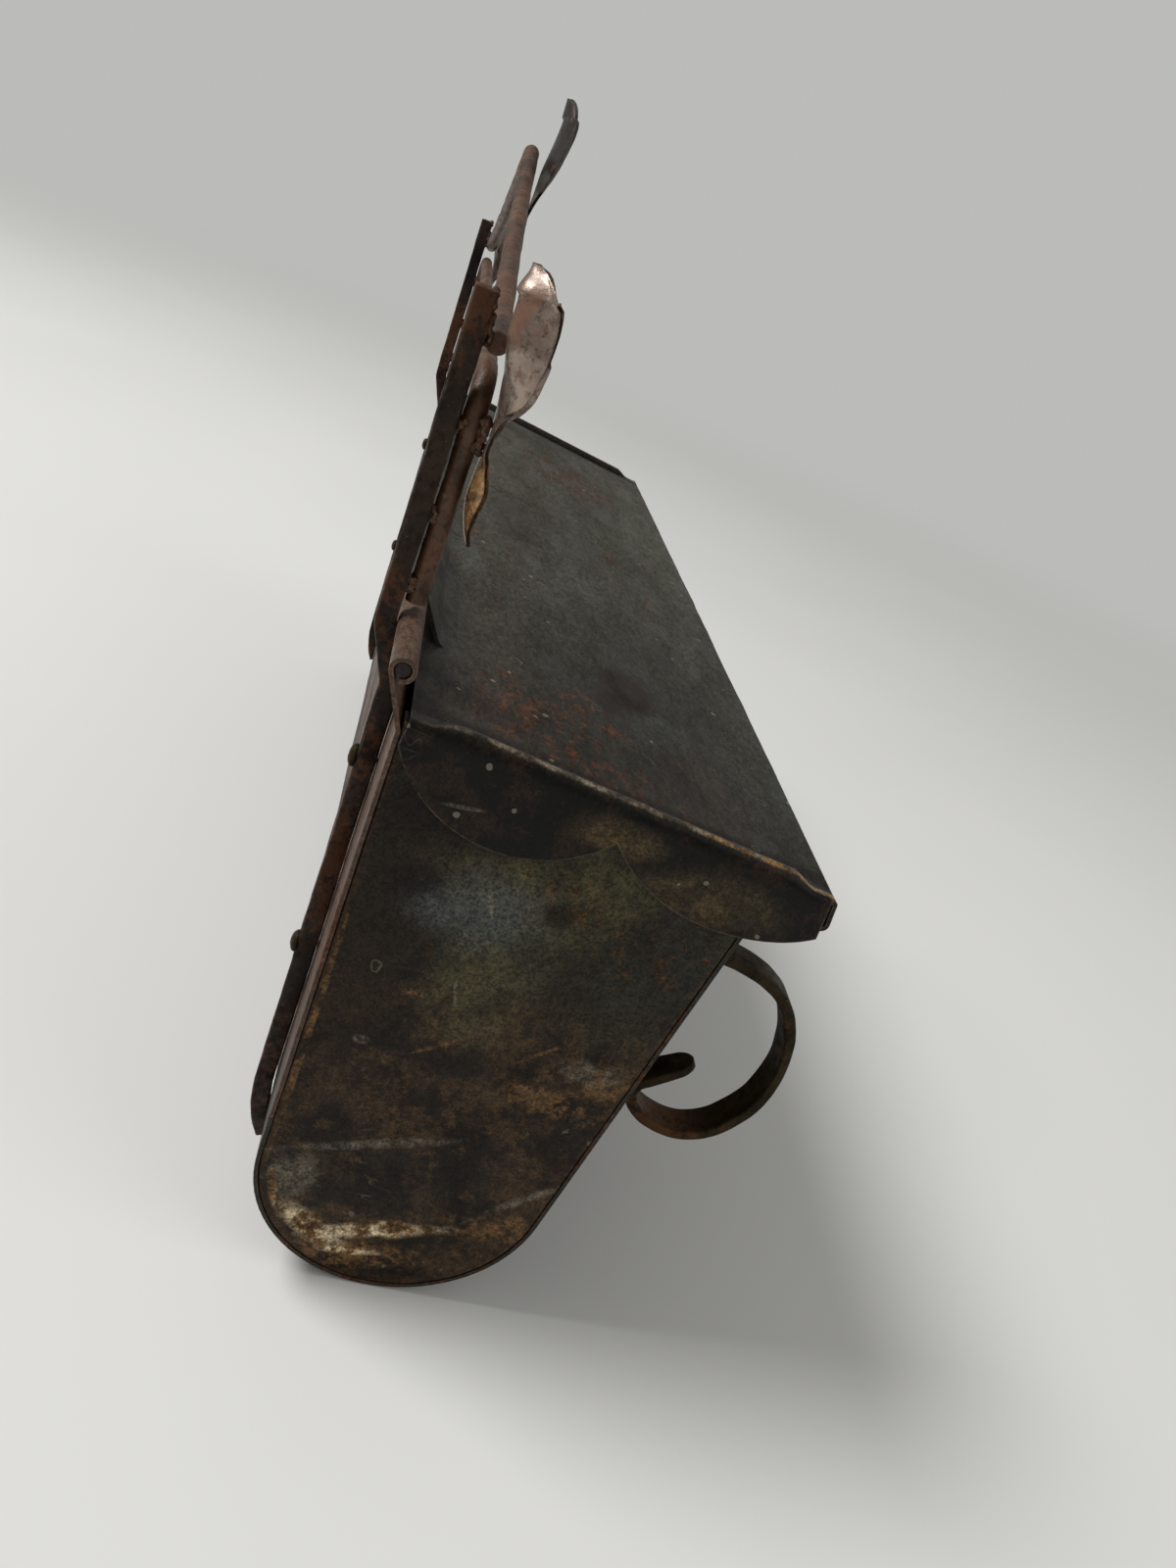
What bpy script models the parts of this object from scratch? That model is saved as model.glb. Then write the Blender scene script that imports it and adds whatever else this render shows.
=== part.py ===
"""Wall-hung sheet-steel mailbox with a hinged, scallop-skirted lid.

The two posts stand on the wall plane, Y = 0, and everything else is in front of it, at -Y.
+Z is up and X runs along the lid. The origin is on the wall, midway between the posts.
A profile across the box is written as (reach, height): reach is the distance from the wall.
"""
import bpy
import bmesh
from math import acos, asin, atan2, ceil, cos, degrees, hypot, pi, radians, sin, tan
from mathutils import Matrix, Vector

# Stock sizes and clearances
SHEET = 0.0010
BAR = 0.0048
ROD = 0.0048
PIN_DIAMETER = 0.0034
STRAP_THICKNESS = 0.0032
STRAP_WIDTH = 0.0100
SEAT_GAP = 0.0003
PIN_CLEARANCE = 0.0002
SKIRT_GAP = 0.0006
KNUCKLE_GAP = 0.0008
CUT_OVERRUN = 0.0020

# Box
LID_LENGTH = 0.408
BOX_DEPTH = 0.0915
BOX_DROP = 0.1700
BOTTOM_RADIUS = 0.0373
BACK_SEAM_RISE = 0.0120
PLATE_FLANGE = 0.0055
PLATE_INSET = 0.0006
PLATE_STEP_DROP = 0.0040
PLATE_STEP_RUN = 0.0020
RIM_HEM = 0.0060

# Lid
LID_PITCH = radians(7.1)
LID_DROP = 0.0092
LID_OVERHANG = 0.0140
LID_BACK_CLEARANCE = 0.0010
LIP_HEIGHT = 0.0075
LIP_FLARE = 0.0014
LIP_CURL = 0.0013
LIP_CURL_SWEEP = radians(200)
EDGE_ROUND = 0.0016
SKIRT_BACK = 0.0060
SKIRT_CUSP = 0.0075
SKIRT_FRONT = 0.0095
BACK_SCALLOP_SAG = 0.0138
FRONT_SCALLOP_SAG = 0.0098
SCALLOP_SPLIT_SHARE = 0.495
BEAD_WIDTH = 0.0050
BEAD_HEIGHT = 0.0014
BEAD_INSET = 0.0030
BEAD_BACK_END = 0.0060
BEAD_FRONT_END = 0.0080
BEAD_ROOT = 0.0006
BEAD_SEAT = 0.00025
BEAD_LEAST_SHARE = 0.125

# Hinge
END_KNUCKLE = 0.0450
HINGE_JOGGLE = 0.0130
RISER_FOOT = 0.0045
RISER_ROUND = 0.0040
ROLL_SWEEP = radians(296)

# Frame at the wall
POST_INSET = 0.0290
POST_RISE = 0.0703
ORIGIN_RISE = 0.0300
POST_JOGGLE = 0.0051
JOGGLE_START = 0.0008
JOGGLE_LENGTH = 0.0135
POST_BEND = 0.0060
TOE_SWEEP = radians(27)

# Crest
ARCH_FOOT_DROP = 0.0093
ARCH_PEAK_RISE = 0.0242
ARCH_PEAK_ROUND = 0.0090
ARCH_FOOT_LAP = 0.0012
SCROLL_FOOT_RISE = 0.0048
SCROLL_TOP_DROP = 0.0163
SCROLL_ELBOW = 0.0090
SCROLL_OFFSET = 0.0016
SCROLL_RADIUS = 0.0165
SCROLL_EYE_RADIUS = 0.0062
SCROLL_TURNS = 1.35
SCROLL_DIP = 0.0030

# Leaves
LEAF_LENGTH = 0.0570
LEAF_WIDTH = 0.0270
LEAF_THICKNESS = 0.0010
LEAF_CUP = 0.0066
LEAF_TIP_BACK = 0.0012
LEAF_STEM_OUT = 0.0037
LEAF_RIPPLE = 0.0003
SIDE_LEAF_DROP = 0.0498
CREST_LEAF_DROP = 0.0103

# Newspaper hooks
HOOK_INSET = 0.0380
HOOK_TAB = 0.0220
HOOK_TAB_DROP = 0.0134
HOOK_REACH = 0.0450
HOOK_DROP = 0.0680
HOOK_BEND = 0.0040

# Rivets
RIVET_SHANK = 0.0030
RIVET_HEAD = 0.0056
RIVET_HEAD_HEIGHT = 0.0014
HOOK_RIVET_DROP = 0.0180
HOOK_RIVET_SPACING = 0.0085
POST_RIVET_DROPS_SHARE = (0.20, 0.70)

# Facets
ARC_STEP = radians(12)
ARC_CHORD = 0.0040
ROUND_SIDES = 10
CURVE_STEPS = 5
LEAF_RIPPLE_TURNS = radians(1080)
LEAF_ROWS = 26
LEAF_COLUMNS = 8

# Values that follow
HINGE_Z = -ORIGIN_RISE
KNUCKLE_RADIUS = PIN_DIAMETER / 2 + PIN_CLEARANCE + SHEET
HINGE_REACH = BAR + SEAT_GAP + KNUCKLE_RADIUS
BACK_REACH = POST_JOGGLE + BAR + SEAT_GAP
ROD_REACH = BAR + SEAT_GAP + ROD / 2
BODY_LENGTH = LID_LENGTH - 2 * (SHEET + SKIRT_GAP)
LID_BACK_REACH = BACK_REACH + SHEET + LID_BACK_CLEARANCE
LID_BACK_Z = HINGE_Z - LID_DROP
POST_X = LID_LENGTH / 2 - POST_INSET
POST_TOP = HINGE_Z + POST_RISE
HOOK_X = LID_LENGTH / 2 - HOOK_INSET
BOTTOM_CENTRE = (BACK_REACH + BOTTOM_RADIUS, HINGE_Z - BOX_DROP + BOTTOM_RADIUS)

# A leaf from its stem to its tip: half width, cup, and how far stem and tip leave the seat
LEAF_WIDTH_SHARES = (
    (0.00, 0.06), (0.02, 0.11), (0.08, 0.16), (0.14, 0.36), (0.20, 0.50), (0.26, 0.47), (0.34, 0.32),
    (0.41, 0.32), (0.48, 0.52), (0.55, 0.78), (0.63, 0.96), (0.71, 1.00), (0.80, 0.94), (0.88, 0.76),
    (0.94, 0.52), (0.98, 0.27), (1.00, 0.08),
)
LEAF_CUP_SHARES = (
    (0.00, 0.00), (0.05, 0.10), (0.14, 0.35), (0.23, 0.45), (0.30, 0.25), (0.375, 0.05), (0.475, 0.18),
    (0.55, 0.55), (0.605, 0.80), (0.70, 0.97), (0.81, 1.00), (0.90, 0.92), (0.96, 0.70), (1.00, 0.30),
)
LEAF_STEM_SHARES = (
    (0.00, 1.00), (0.05, 0.60), (0.12, 0.24), (0.20, 0.08), (0.34, 0.19), (0.45, 0.27), (0.52, 0.20),
    (0.62, 0.03), (0.70, 0.00), (1.00, 0.00),
)
LEAF_TIP_SHARES = ((0.00, 0.00), (0.82, 0.00), (0.90, 0.65), (1.00, 1.00))

# Way of the arch from its foot to its peak: how far in, and how far it hangs below the straight line
ARCH_FLANK_SHARES = ((0.00, 0.00), (0.22, 0.06), (0.50, 0.10), (0.78, 0.07))

# Crown of a rivet head: half width and height
RIVET_CROWN_SHARES = (0.6, 0.8)

# Colour, roughness and metallic share of each finish
FINISH_SHARES = {
    "lid_steel": ((0.085, 0.085, 0.08), 0.55, 0.6),
    "box_steel": ((0.075, 0.062, 0.045), 0.6, 0.5),
    "bar_steel": ((0.055, 0.035, 0.026), 0.7, 0.4),
    "rod_steel": ((0.16, 0.085, 0.06), 0.65, 0.4),
    "leaf_steel": ((0.30, 0.20, 0.16), 0.4, 0.8),
    "strap_steel": ((0.085, 0.06, 0.03), 0.6, 0.4),
}

# Outline of a hook, as shares of its reach and its drop from the foot of its tab
HOOK_SHARES = (
    (0.259, 0.102), (0.481, 0.133), (0.659, 0.177), (0.814, 0.251), (0.910, 0.348), (0.970, 0.450),
    (0.999, 0.583), (0.968, 0.748), (0.881, 0.864), (0.759, 0.953), (0.577, 1.000), (0.386, 0.982),
    (0.241, 0.928), (0.166, 0.864), (0.179, 0.805), (0.259, 0.765), (0.406, 0.696), (0.488, 0.661),
)


def lid_z(reach):
    """Height of the closed lid's top face at a reach from the wall."""
    return LID_BACK_Z - (reach - LID_BACK_REACH) * tan(LID_PITCH)


def rim_z(reach):
    """Height of the box's rim, which the closed lid rests on."""
    return lid_z(reach) - (SHEET + SEAT_GAP) / cos(LID_PITCH)


RIM_REACH = BACK_REACH + BOX_DEPTH
RIM_Z = rim_z(RIM_REACH)


def front_lean():
    """Lean of the front wall, which runs from the rim and meets the round bottom as a tangent."""
    across = RIM_REACH - BOTTOM_CENTRE[0]
    up = RIM_Z - BOTTOM_CENTRE[1]
    return atan2(across, up) - asin(BOTTOM_RADIUS / hypot(across, up))


LEAN = front_lean()
LID_FRONT_REACH = RIM_REACH + LID_OVERHANG
LID_DEPTH = (LID_FRONT_REACH - LID_BACK_REACH) / cos(LID_PITCH)


def front_reach(height):
    """Reach of the front wall's outer face at a height."""
    return RIM_REACH - (RIM_Z - height) * tan(LEAN)


def clear_scene():
    for thing in list(bpy.data.objects):
        bpy.data.objects.remove(thing, do_unlink=True)


def steel(name, colour, roughness, metallic):
    material = bpy.data.materials.new(name)
    material.use_nodes = True
    shader = material.node_tree.nodes["Principled BSDF"]
    shader.inputs["Base Color"].default_value = (*colour, 1.0)
    shader.inputs["Roughness"].default_value = roughness
    shader.inputs["Metallic"].default_value = metallic
    material.diffuse_color = (*colour, 1.0)
    return material


def point_on(centre, radius, angle):
    return (centre[0] + radius * cos(angle), centre[1] + radius * sin(angle))


def arc(centre, radius, start, end):
    """Points of an arc, no more than ARC_STEP or ARC_CHORD apart."""
    turn = abs(end - start)
    steps = max(2, ceil(turn / ARC_STEP - 1e-6), ceil(turn * radius / ARC_CHORD - 1e-6))
    return [point_on(centre, radius, start + (end - start) * i / steps) for i in range(steps + 1)]


def rounded(path, radius):
    """The path with each inner corner turned into an arc of a radius that its legs leave room for."""
    result = [path[0]]
    for before, corner, after in zip(path, path[1:], path[2:]):
        back = Vector(before) - Vector(corner)
        ahead = Vector(after) - Vector(corner)
        half = back.angle(ahead) / 2
        if half > radians(89):
            result.append(corner)
            continue
        leg = min(radius / tan(half), back.length / 2, ahead.length / 2)
        size = leg * tan(half)
        middle = Vector(corner) + (back.normalized() + ahead.normalized()).normalized() * size / sin(half)
        start = Vector(corner) + back.normalized() * leg - middle
        end = Vector(corner) + ahead.normalized() * leg - middle
        first = atan2(start.y, start.x)
        turn = (atan2(end.y, end.x) - first + pi) % (2 * pi) - pi
        result += arc((middle.x, middle.y), size, first, first + turn)
    return result + [path[-1]]


def smooth(points, steps=CURVE_STEPS):
    """A smooth curve through the points, with a few steps between each two."""
    knots = [Vector(p) for p in points]
    knots = [2 * knots[0] - knots[1]] + knots + [2 * knots[-1] - knots[-2]]
    curve = []
    for a, b, c, d in zip(knots, knots[1:], knots[2:], knots[3:]):
        for i in range(steps):
            t = i / steps
            curve.append(0.5 * (2 * b + (c - a) * t + (2 * a - 5 * b + 4 * c - d) * t * t
                                + (3 * b - a - 3 * c + d) * t ** 3))
    return [tuple(p) for p in curve] + [tuple(knots[-2])]


def band(path, thickness):
    """Closed outline of a strip of the given thickness bent along its middle line."""
    points = [Vector(p) for p in path]
    sides = ([], [])
    for i, point in enumerate(points):
        before = (point - points[i - 1]).normalized() if i else None
        after = (points[i + 1] - point).normalized() if i + 1 < len(points) else None
        along = ((before or after) + (after or before)).normalized()
        across = Vector((-along.y, along.x))
        reach = thickness / 2 / max(across.dot(Vector((-(after or before).y, (after or before).x))), 0.5)
        sides[0].append(tuple(point + across * reach))
        sides[1].append(tuple(point - across * reach))
    return sides[0] + sides[1][::-1]


def new_object(name, mesh_data, material=None):
    mesh = bpy.data.meshes.new(name)
    mesh_data.to_mesh(mesh)
    mesh_data.free()
    thing = bpy.data.objects.new(name, mesh)
    bpy.context.scene.collection.objects.link(thing)
    if material:
        mesh.materials.append(material)
    mesh.shade_smooth()
    mesh.set_sharp_from_angle(angle=radians(35))
    return thing


def from_faces(name, points, faces, material=None):
    """A closed body from points and faces, with its faces turned outwards."""
    body = bmesh.new()
    corners = [body.verts.new(p) for p in points]
    for face in faces:
        body.faces.new([corners[i] for i in face])
    bmesh.ops.recalc_face_normals(body, faces=body.faces)
    return new_object(name, body, material)


def prism(name, outline, x_start, x_end, material=None):
    """A (reach, height) outline carried along X."""
    count = len(outline)
    points = [(x, -reach, height) for x in (x_start, x_end) for reach, height in outline]
    faces = [list(range(count)), list(range(count, 2 * count))]
    faces += [[i, (i + 1) % count, count + (i + 1) % count, count + i] for i in range(count)]
    return from_faces(name, points, faces, material)


def sweep(name, path, section, material=None):
    """A section carried along a path of 3-D points without twist, and capped."""
    points = [Vector(p) for p in path]
    tangents = []
    for i in range(len(points)):
        tangents.append((points[min(i + 1, len(points) - 1)] - points[max(i - 1, 0)]).normalized())
    side = Vector((0, 1, 0))
    if abs(tangents[0].dot(side)) > 0.9:
        side = Vector((1, 0, 0))
    rings = []
    for i, (point, along) in enumerate(zip(points, tangents)):
        side = (side - along * side.dot(along)).normalized()
        other = along.cross(side)
        bend = 1.0
        if 0 < i < len(points) - 1:
            bend = 1 / max(cos((points[i] - points[i - 1]).angle(points[i + 1] - points[i]) / 2), 0.7)
        rings.append([point + side * a + other * b * bend for a, b in section])
    size = len(section)
    corners = [p for ring in rings for p in ring]
    faces = [list(range(size)), list(range(len(corners) - size, len(corners)))]
    for ring in range(len(rings) - 1):
        for i in range(size):
            a = ring * size + i
            b = ring * size + (i + 1) % size
            faces.append([a, b, b + size, a + size])
    return from_faces(name, corners, faces, material)


def circle(radius, sides=ROUND_SIDES):
    return [(radius * cos(2 * pi * i / sides), radius * sin(2 * pi * i / sides)) for i in range(sides)]


def turned(name, profile, centre, axis, material=None, sides=ROUND_SIDES):
    """A closed solid of revolution: (radius, height) points from pole to pole about an axis at a centre."""
    body = bmesh.new()
    rings = []
    for radius, height in profile:
        if radius == 0:
            rings.append([body.verts.new((0, 0, height))])
        else:
            rings.append([body.verts.new((a, b, height)) for a, b in circle(radius, sides)])
    for low, high in zip(rings, rings[1:]):
        for i in range(sides):
            j = (i + 1) % sides
            quad = [low[i % len(low)], low[j % len(low)], high[j % len(high)], high[i % len(high)]]
            body.faces.new(list(dict.fromkeys(quad)))
    turn = Vector((0, 0, 1)).rotation_difference(Vector(axis)).to_matrix().to_4x4()
    bmesh.ops.transform(body, matrix=Matrix.Translation(centre) @ turn, verts=body.verts)
    bmesh.ops.recalc_face_normals(body, faces=body.faces)
    return new_object(name, body, material)


def boolean(target, tools, operation):
    """Guides and cutters stay in the file, out of the render, and act through modifiers."""
    for tool in tools:
        tool.hide_render = True
        tool.display_type = "WIRE"
        step = target.modifiers.new(tool.name, "BOOLEAN")
        step.operation = operation
        step.solver = "EXACT"
        step.object = tool
    return target


def set_origin(thing, point):
    thing.data.transform(Matrix.Translation(-Vector(point)))
    thing.location = point


def knuckle_spans():
    """X ranges of the body's two knuckles and of the lid's one, which fill the pin between them."""
    half = BODY_LENGTH / 2
    body = [(-half, -half + END_KNUCKLE), (half - END_KNUCKLE, half)]
    lid = [(body[0][1] + KNUCKLE_GAP, body[1][0] - KNUCKLE_GAP)]
    return body, lid


def tangent_angle(point, side):
    """Angle on the hinge's rolled sheet where a straight leg from the point meets it."""
    across = point[0] - HINGE_REACH
    up = point[1] - HINGE_Z
    return atan2(up, across) + side * acos((KNUCKLE_RADIUS - SHEET / 2) / hypot(across, up))


def back_sheet(material):
    """Flat back whose top edge is joggled towards the wall and rolled over the hinge pin."""
    middle = BACK_REACH + SHEET / 2
    foot = BOTTOM_CENTRE[1] + BACK_SEAM_RISE
    bend = (middle, HINGE_Z - HINGE_JOGGLE)
    half = BODY_LENGTH / 2
    sheet = prism("back_sheet", band([(middle, foot), bend], SHEET), -half, half, material)
    start = tangent_angle(bend, -1)
    roll = arc((HINGE_REACH, HINGE_Z), KNUCKLE_RADIUS - SHEET / 2, start, start - ROLL_SWEEP)
    below = (middle, bend[1] - HINGE_JOGGLE / 2)
    path = rounded([below, bend, roll[0]], RISER_ROUND)[:-1] + roll
    tools = []
    for i, (x_start, x_end) in enumerate(knuckle_spans()[0]):
        tools.append(prism(f"back_roll_guide_{i}", band(path, SHEET), x_start, x_end))
    return boolean(sheet, tools, "UNION")


def pocket_path(inset):
    """Middle line of the sheet that makes the round bottom and the front, moved inwards by an inset."""
    radius = BOTTOM_RADIUS - inset
    start = (BACK_REACH + inset, BOTTOM_CENTRE[1] + BACK_SEAM_RISE - SEAT_GAP)
    bottom = arc(BOTTOM_CENTRE, radius, pi, 2 * pi - LEAN)
    top = (RIM_REACH - inset / cos(LEAN), RIM_Z)
    return [start] + bottom + [top]


def pocket_sheet(material):
    """Round bottom and leaning front in one sheet, with a hem folded inwards at the rim."""
    path = pocket_path(SHEET / 2)
    up = Vector((sin(LEAN), cos(LEAN)))
    inward = Vector((-cos(LEAN), sin(LEAN)))
    fold = (SHEET + SEAT_GAP) / 2
    top = Vector(path[-1]) - up * (fold + SHEET)
    centre = top + inward * fold
    path[-1] = tuple(top)
    path += arc(tuple(centre), fold, -LEAN, pi - LEAN)[1:]
    path.append(tuple(Vector(path[-1]) - up * RIM_HEM))
    half = BODY_LENGTH / 2
    return prism("pocket_sheet", band(path, SHEET), -half, half, material)


def end_plate(name, side, material):
    """End of the box: a plate with a flange turned inwards along its back, bottom and front."""
    edge = SHEET + SEAT_GAP
    radius = BOTTOM_RADIUS - edge
    back = BACK_REACH + edge
    front_shift = edge / cos(LEAN)
    hem_space = (2 * SHEET + 2 * SEAT_GAP) / cos(LEAN)
    hem_foot = RIM_Z - (RIM_HEM + PLATE_STEP_DROP) * cos(LEAN)
    step_foot = hem_foot - PLATE_STEP_RUN
    top_reach = RIM_REACH - front_shift - hem_space
    outline = [(back, rim_z(back))] + arc(BOTTOM_CENTRE, radius, pi, 2 * pi - LEAN)
    outline += [(front_reach(step_foot) - front_shift, step_foot)]
    outline += [(front_reach(hem_foot) - front_shift - hem_space, hem_foot), (top_reach, rim_z(top_reach))]
    outer = side * (BODY_LENGTH / 2 - PLATE_INSET)
    inner = outer - side * PLATE_FLANGE
    plate = prism(name, outline, outer, inner, material)
    wall = SHEET
    hollow_top = rim_z(back) + CUT_OVERRUN
    hollow = [(back + wall, hollow_top)] + arc(BOTTOM_CENTRE, radius - wall, pi, 2 * pi - LEAN)
    hollow += [(front_reach(step_foot) - front_shift - wall, step_foot)]
    hollow += [(front_reach(hem_foot) - front_shift - hem_space - wall, hem_foot), (top_reach - wall, hollow_top)]
    cutter = prism(name + "_cutter", hollow, outer - side * SHEET, inner - side * CUT_OVERRUN)
    return boolean(plate, [cutter], "DIFFERENCE")


def lid_point(along, below):
    """A point of the closed lid: along its fall from the back edge, and below its top face."""
    reach = LID_BACK_REACH + along * cos(LID_PITCH) - below * sin(LID_PITCH)
    height = LID_BACK_Z - along * sin(LID_PITCH) - below * cos(LID_PITCH)
    return (reach, height)


def sagging_arc(start, end, sag):
    """Arc from start to end that hangs below their chord by a sag; the second value points down."""
    chord = Vector(end) - Vector(start)
    radius = (chord.length ** 2 / 4 + sag * sag) / (2 * sag)
    half = asin(min(1.0, chord.length / 2 / radius))
    along = chord.normalized()
    down = Vector((-along.y, along.x))
    centre = (Vector(start) + Vector(end)) / 2 + down * (sag - radius)
    turn = atan2(down.y, down.x)
    return arc(tuple(centre), radius, turn + half, turn - half)


def skirt_outline():
    """Side of the lid: straight along the top, two scallops below."""
    end = LID_DEPTH - SHEET / 2
    split = end * SCALLOP_SPLIT_SHARE
    lip_foot = (end + LIP_FLARE * SKIRT_FRONT / LIP_HEIGHT, SKIRT_FRONT)
    outline = [(end, EDGE_ROUND), (end - EDGE_ROUND, SHEET / 2), (0, SHEET / 2)]
    outline += sagging_arc((0, SKIRT_BACK), (split, SKIRT_CUSP), BACK_SCALLOP_SAG)
    outline += sagging_arc((split, SKIRT_CUSP), lip_foot, FRONT_SCALLOP_SAG)[1:]
    return [lid_point(along, below) for along, below in outline]


def lid_bead(name, side):
    """Pressed bead along one end of the lid: a half-round ridge with round ends."""
    start = BEAD_BACK_END
    end = LID_DEPTH - BEAD_FRONT_END
    half = BEAD_WIDTH / 2
    rows = [(start + half - half * cos(a), sin(a)) for a in (0, pi / 6, pi / 3, pi / 2)]
    rows += [(end - half + half * cos(a), sin(a)) for a in (pi / 2, pi / 3, pi / 6, 0)]
    x_middle = side * (LID_LENGTH / 2 - BEAD_INSET)
    ring_angles = [pi * i / 6 for i in range(7)]
    body = bmesh.new()
    rings = []
    for along, size in rows:
        size = max(size, BEAD_LEAST_SHARE)
        ring = []
        for angle in ring_angles:
            reach, height = lid_point(along, BEAD_SEAT - BEAD_HEIGHT * size * sin(angle))
            ring.append(body.verts.new((x_middle + half * size * cos(angle), -reach, height)))
        for x_side in (-1, 1):
            reach, height = lid_point(along, BEAD_ROOT)
            ring.append(body.verts.new((x_middle + x_side * half * size, -reach, height)))
        rings.append(ring)
    body.faces.new(rings[0])
    body.faces.new(rings[-1])
    count = len(rings[0])
    for low, high in zip(rings, rings[1:]):
        for i in range(count):
            body.faces.new([low[i], low[(i + 1) % count], high[(i + 1) % count], high[i]])
    bmesh.ops.recalc_face_normals(body, faces=body.faces)
    return new_object(name, body)


def lid(material):
    """Top, front lip with a curled edge, two scalloped skirts, two pressed beads and two rolled knuckles."""
    corner = lid_point(LID_DEPTH - SHEET / 2, SHEET / 2)
    foot = lid_point(LID_DEPTH - SHEET / 2 + LIP_FLARE, LIP_HEIGHT - LIP_CURL)
    down = (Vector(foot) - Vector(corner)).normalized()
    back = Vector((down.y, -down.x))
    curl_centre = Vector(foot) + back * LIP_CURL
    start = atan2(-back.y, -back.x)
    curl = arc(tuple(curl_centre), LIP_CURL, start, start - LIP_CURL_SWEEP)
    path = rounded([lid_point(0, SHEET / 2), corner, foot], EDGE_ROUND) + curl[1:]
    half = LID_LENGTH / 2
    top = prism("lid", band(path, SHEET), -half + SHEET / 2, half - SHEET / 2, material)
    tools = []
    for side, word in ((-1, "left"), (1, "right")):
        skirt = prism(f"lid_skirt_guide_{word}", skirt_outline(), side * half, side * (half - SHEET))
        tools.append(skirt)
        tools.append(lid_bead(f"lid_bead_guide_{word}", side))
    riser_foot = lid_point(RISER_FOOT, SHEET / 2)
    begin = tangent_angle(riser_foot, 1)
    roll = arc((HINGE_REACH, HINGE_Z), KNUCKLE_RADIUS - SHEET / 2, begin, begin + ROLL_SWEEP)
    riser = rounded([lid_point(RISER_FOOT * 2, SHEET / 2), riser_foot, roll[0]], RISER_ROUND)[:-1] + roll
    for i, (x_start, x_end) in enumerate(knuckle_spans()[1]):
        tools.append(prism(f"lid_roll_guide_{i}", band(riser, SHEET), x_start, x_end))
    boolean(top, tools, "UNION")
    set_origin(top, (0, -HINGE_REACH, HINGE_Z))
    return top


def hinge_pin(material):
    """Plain wire through all five knuckles, a little short of each end."""
    end = BODY_LENGTH / 2 - PIN_CLEARANCE
    path = [(-end, -HINGE_REACH, HINGE_Z), (end, -HINGE_REACH, HINGE_Z)]
    return sweep("hinge_pin", path, circle(PIN_DIAMETER / 2), material)


def post(name, side, material):
    """Square bar on the wall: joggled in under the hinge, and turned in along the round bottom."""
    upper = BAR / 2
    lower = POST_JOGGLE + BAR / 2
    joggle_top = HINGE_Z - JOGGLE_START
    path = [(upper, POST_TOP), (upper, joggle_top), (lower, joggle_top - JOGGLE_LENGTH)]
    toe = arc(BOTTOM_CENTRE, BOTTOM_RADIUS + SEAT_GAP + BAR / 2, pi, pi + TOE_SWEEP)
    path = rounded(path + [toe[0]], POST_BEND)[:-1] + toe
    outline = band(path, BAR)
    x_middle = side * POST_X
    return prism(name, outline, x_middle - BAR / 2, x_middle + BAR / 2, material)


def crest_arch(material):
    """One rod from post to post, rising to a rounded peak at the middle."""
    foot = (POST_X - ARCH_FOOT_LAP, POST_TOP - ARCH_FOOT_DROP)
    peak = (0, POST_TOP + ARCH_PEAK_RISE + ROD)
    flank = []
    for share, sag_share in ARCH_FLANK_SHARES:
        across = foot[0] * (1 - share)
        rise = foot[1] + (peak[1] - foot[1]) * (share - sag_share)
        flank.append((across, rise))
    half = smooth(flank + [peak])
    line = half + [(-x, z) for x, z in half[-2::-1]]
    top = len(half) - 1
    peak = rounded([line[top - 3], line[top], line[top + 3]], ARCH_PEAK_ROUND)[1:-1]
    line = line[:top - 2] + peak + line[top + 3:]
    return sweep("crest_arch", [(x, -ROD_REACH, z) for x, z in line], circle(ROD / 2), material)


def scroll(name, side, material):
    """Rod up the front of a post, over an elbow and inwards, ending in a spiral by the middle."""
    leg_x = POST_X - SCROLL_OFFSET
    top = POST_TOP - SCROLL_TOP_DROP
    eye = (SCROLL_RADIUS + ROD / 2 + SEAT_GAP, top - SCROLL_DIP - SCROLL_RADIUS)
    steps = ceil(SCROLL_TURNS * 2 * pi / radians(20))
    spiral = []
    for i in range(steps + 1):
        share = i / steps
        radius = SCROLL_RADIUS + (SCROLL_EYE_RADIUS - SCROLL_RADIUS) * share
        spiral.append(point_on(eye, radius, pi / 2 + SCROLL_TURNS * 2 * pi * share))
    leg = rounded([(leg_x, HINGE_Z + SCROLL_FOOT_RISE), (leg_x, top), ((leg_x + eye[0]) / 2, top)], SCROLL_ELBOW)
    bridge = smooth([leg[-1], ((leg[-1][0] + 3 * eye[0]) / 4, top - SCROLL_DIP / 2), spiral[0]])
    line = leg[:-1] + bridge[:-1] + spiral
    return sweep(name, [(side * x, -ROD_REACH, z) for x, z in line], circle(ROD / 2), material)


def between(shares, at):
    """Value at a share of the way along a table of (share, value) pairs."""
    for (low, first), (high, last) in zip(shares, shares[1:]):
        if at <= high:
            return first + (last - first) * (at - low) / (high - low)
    return shares[-1][1]


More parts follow.
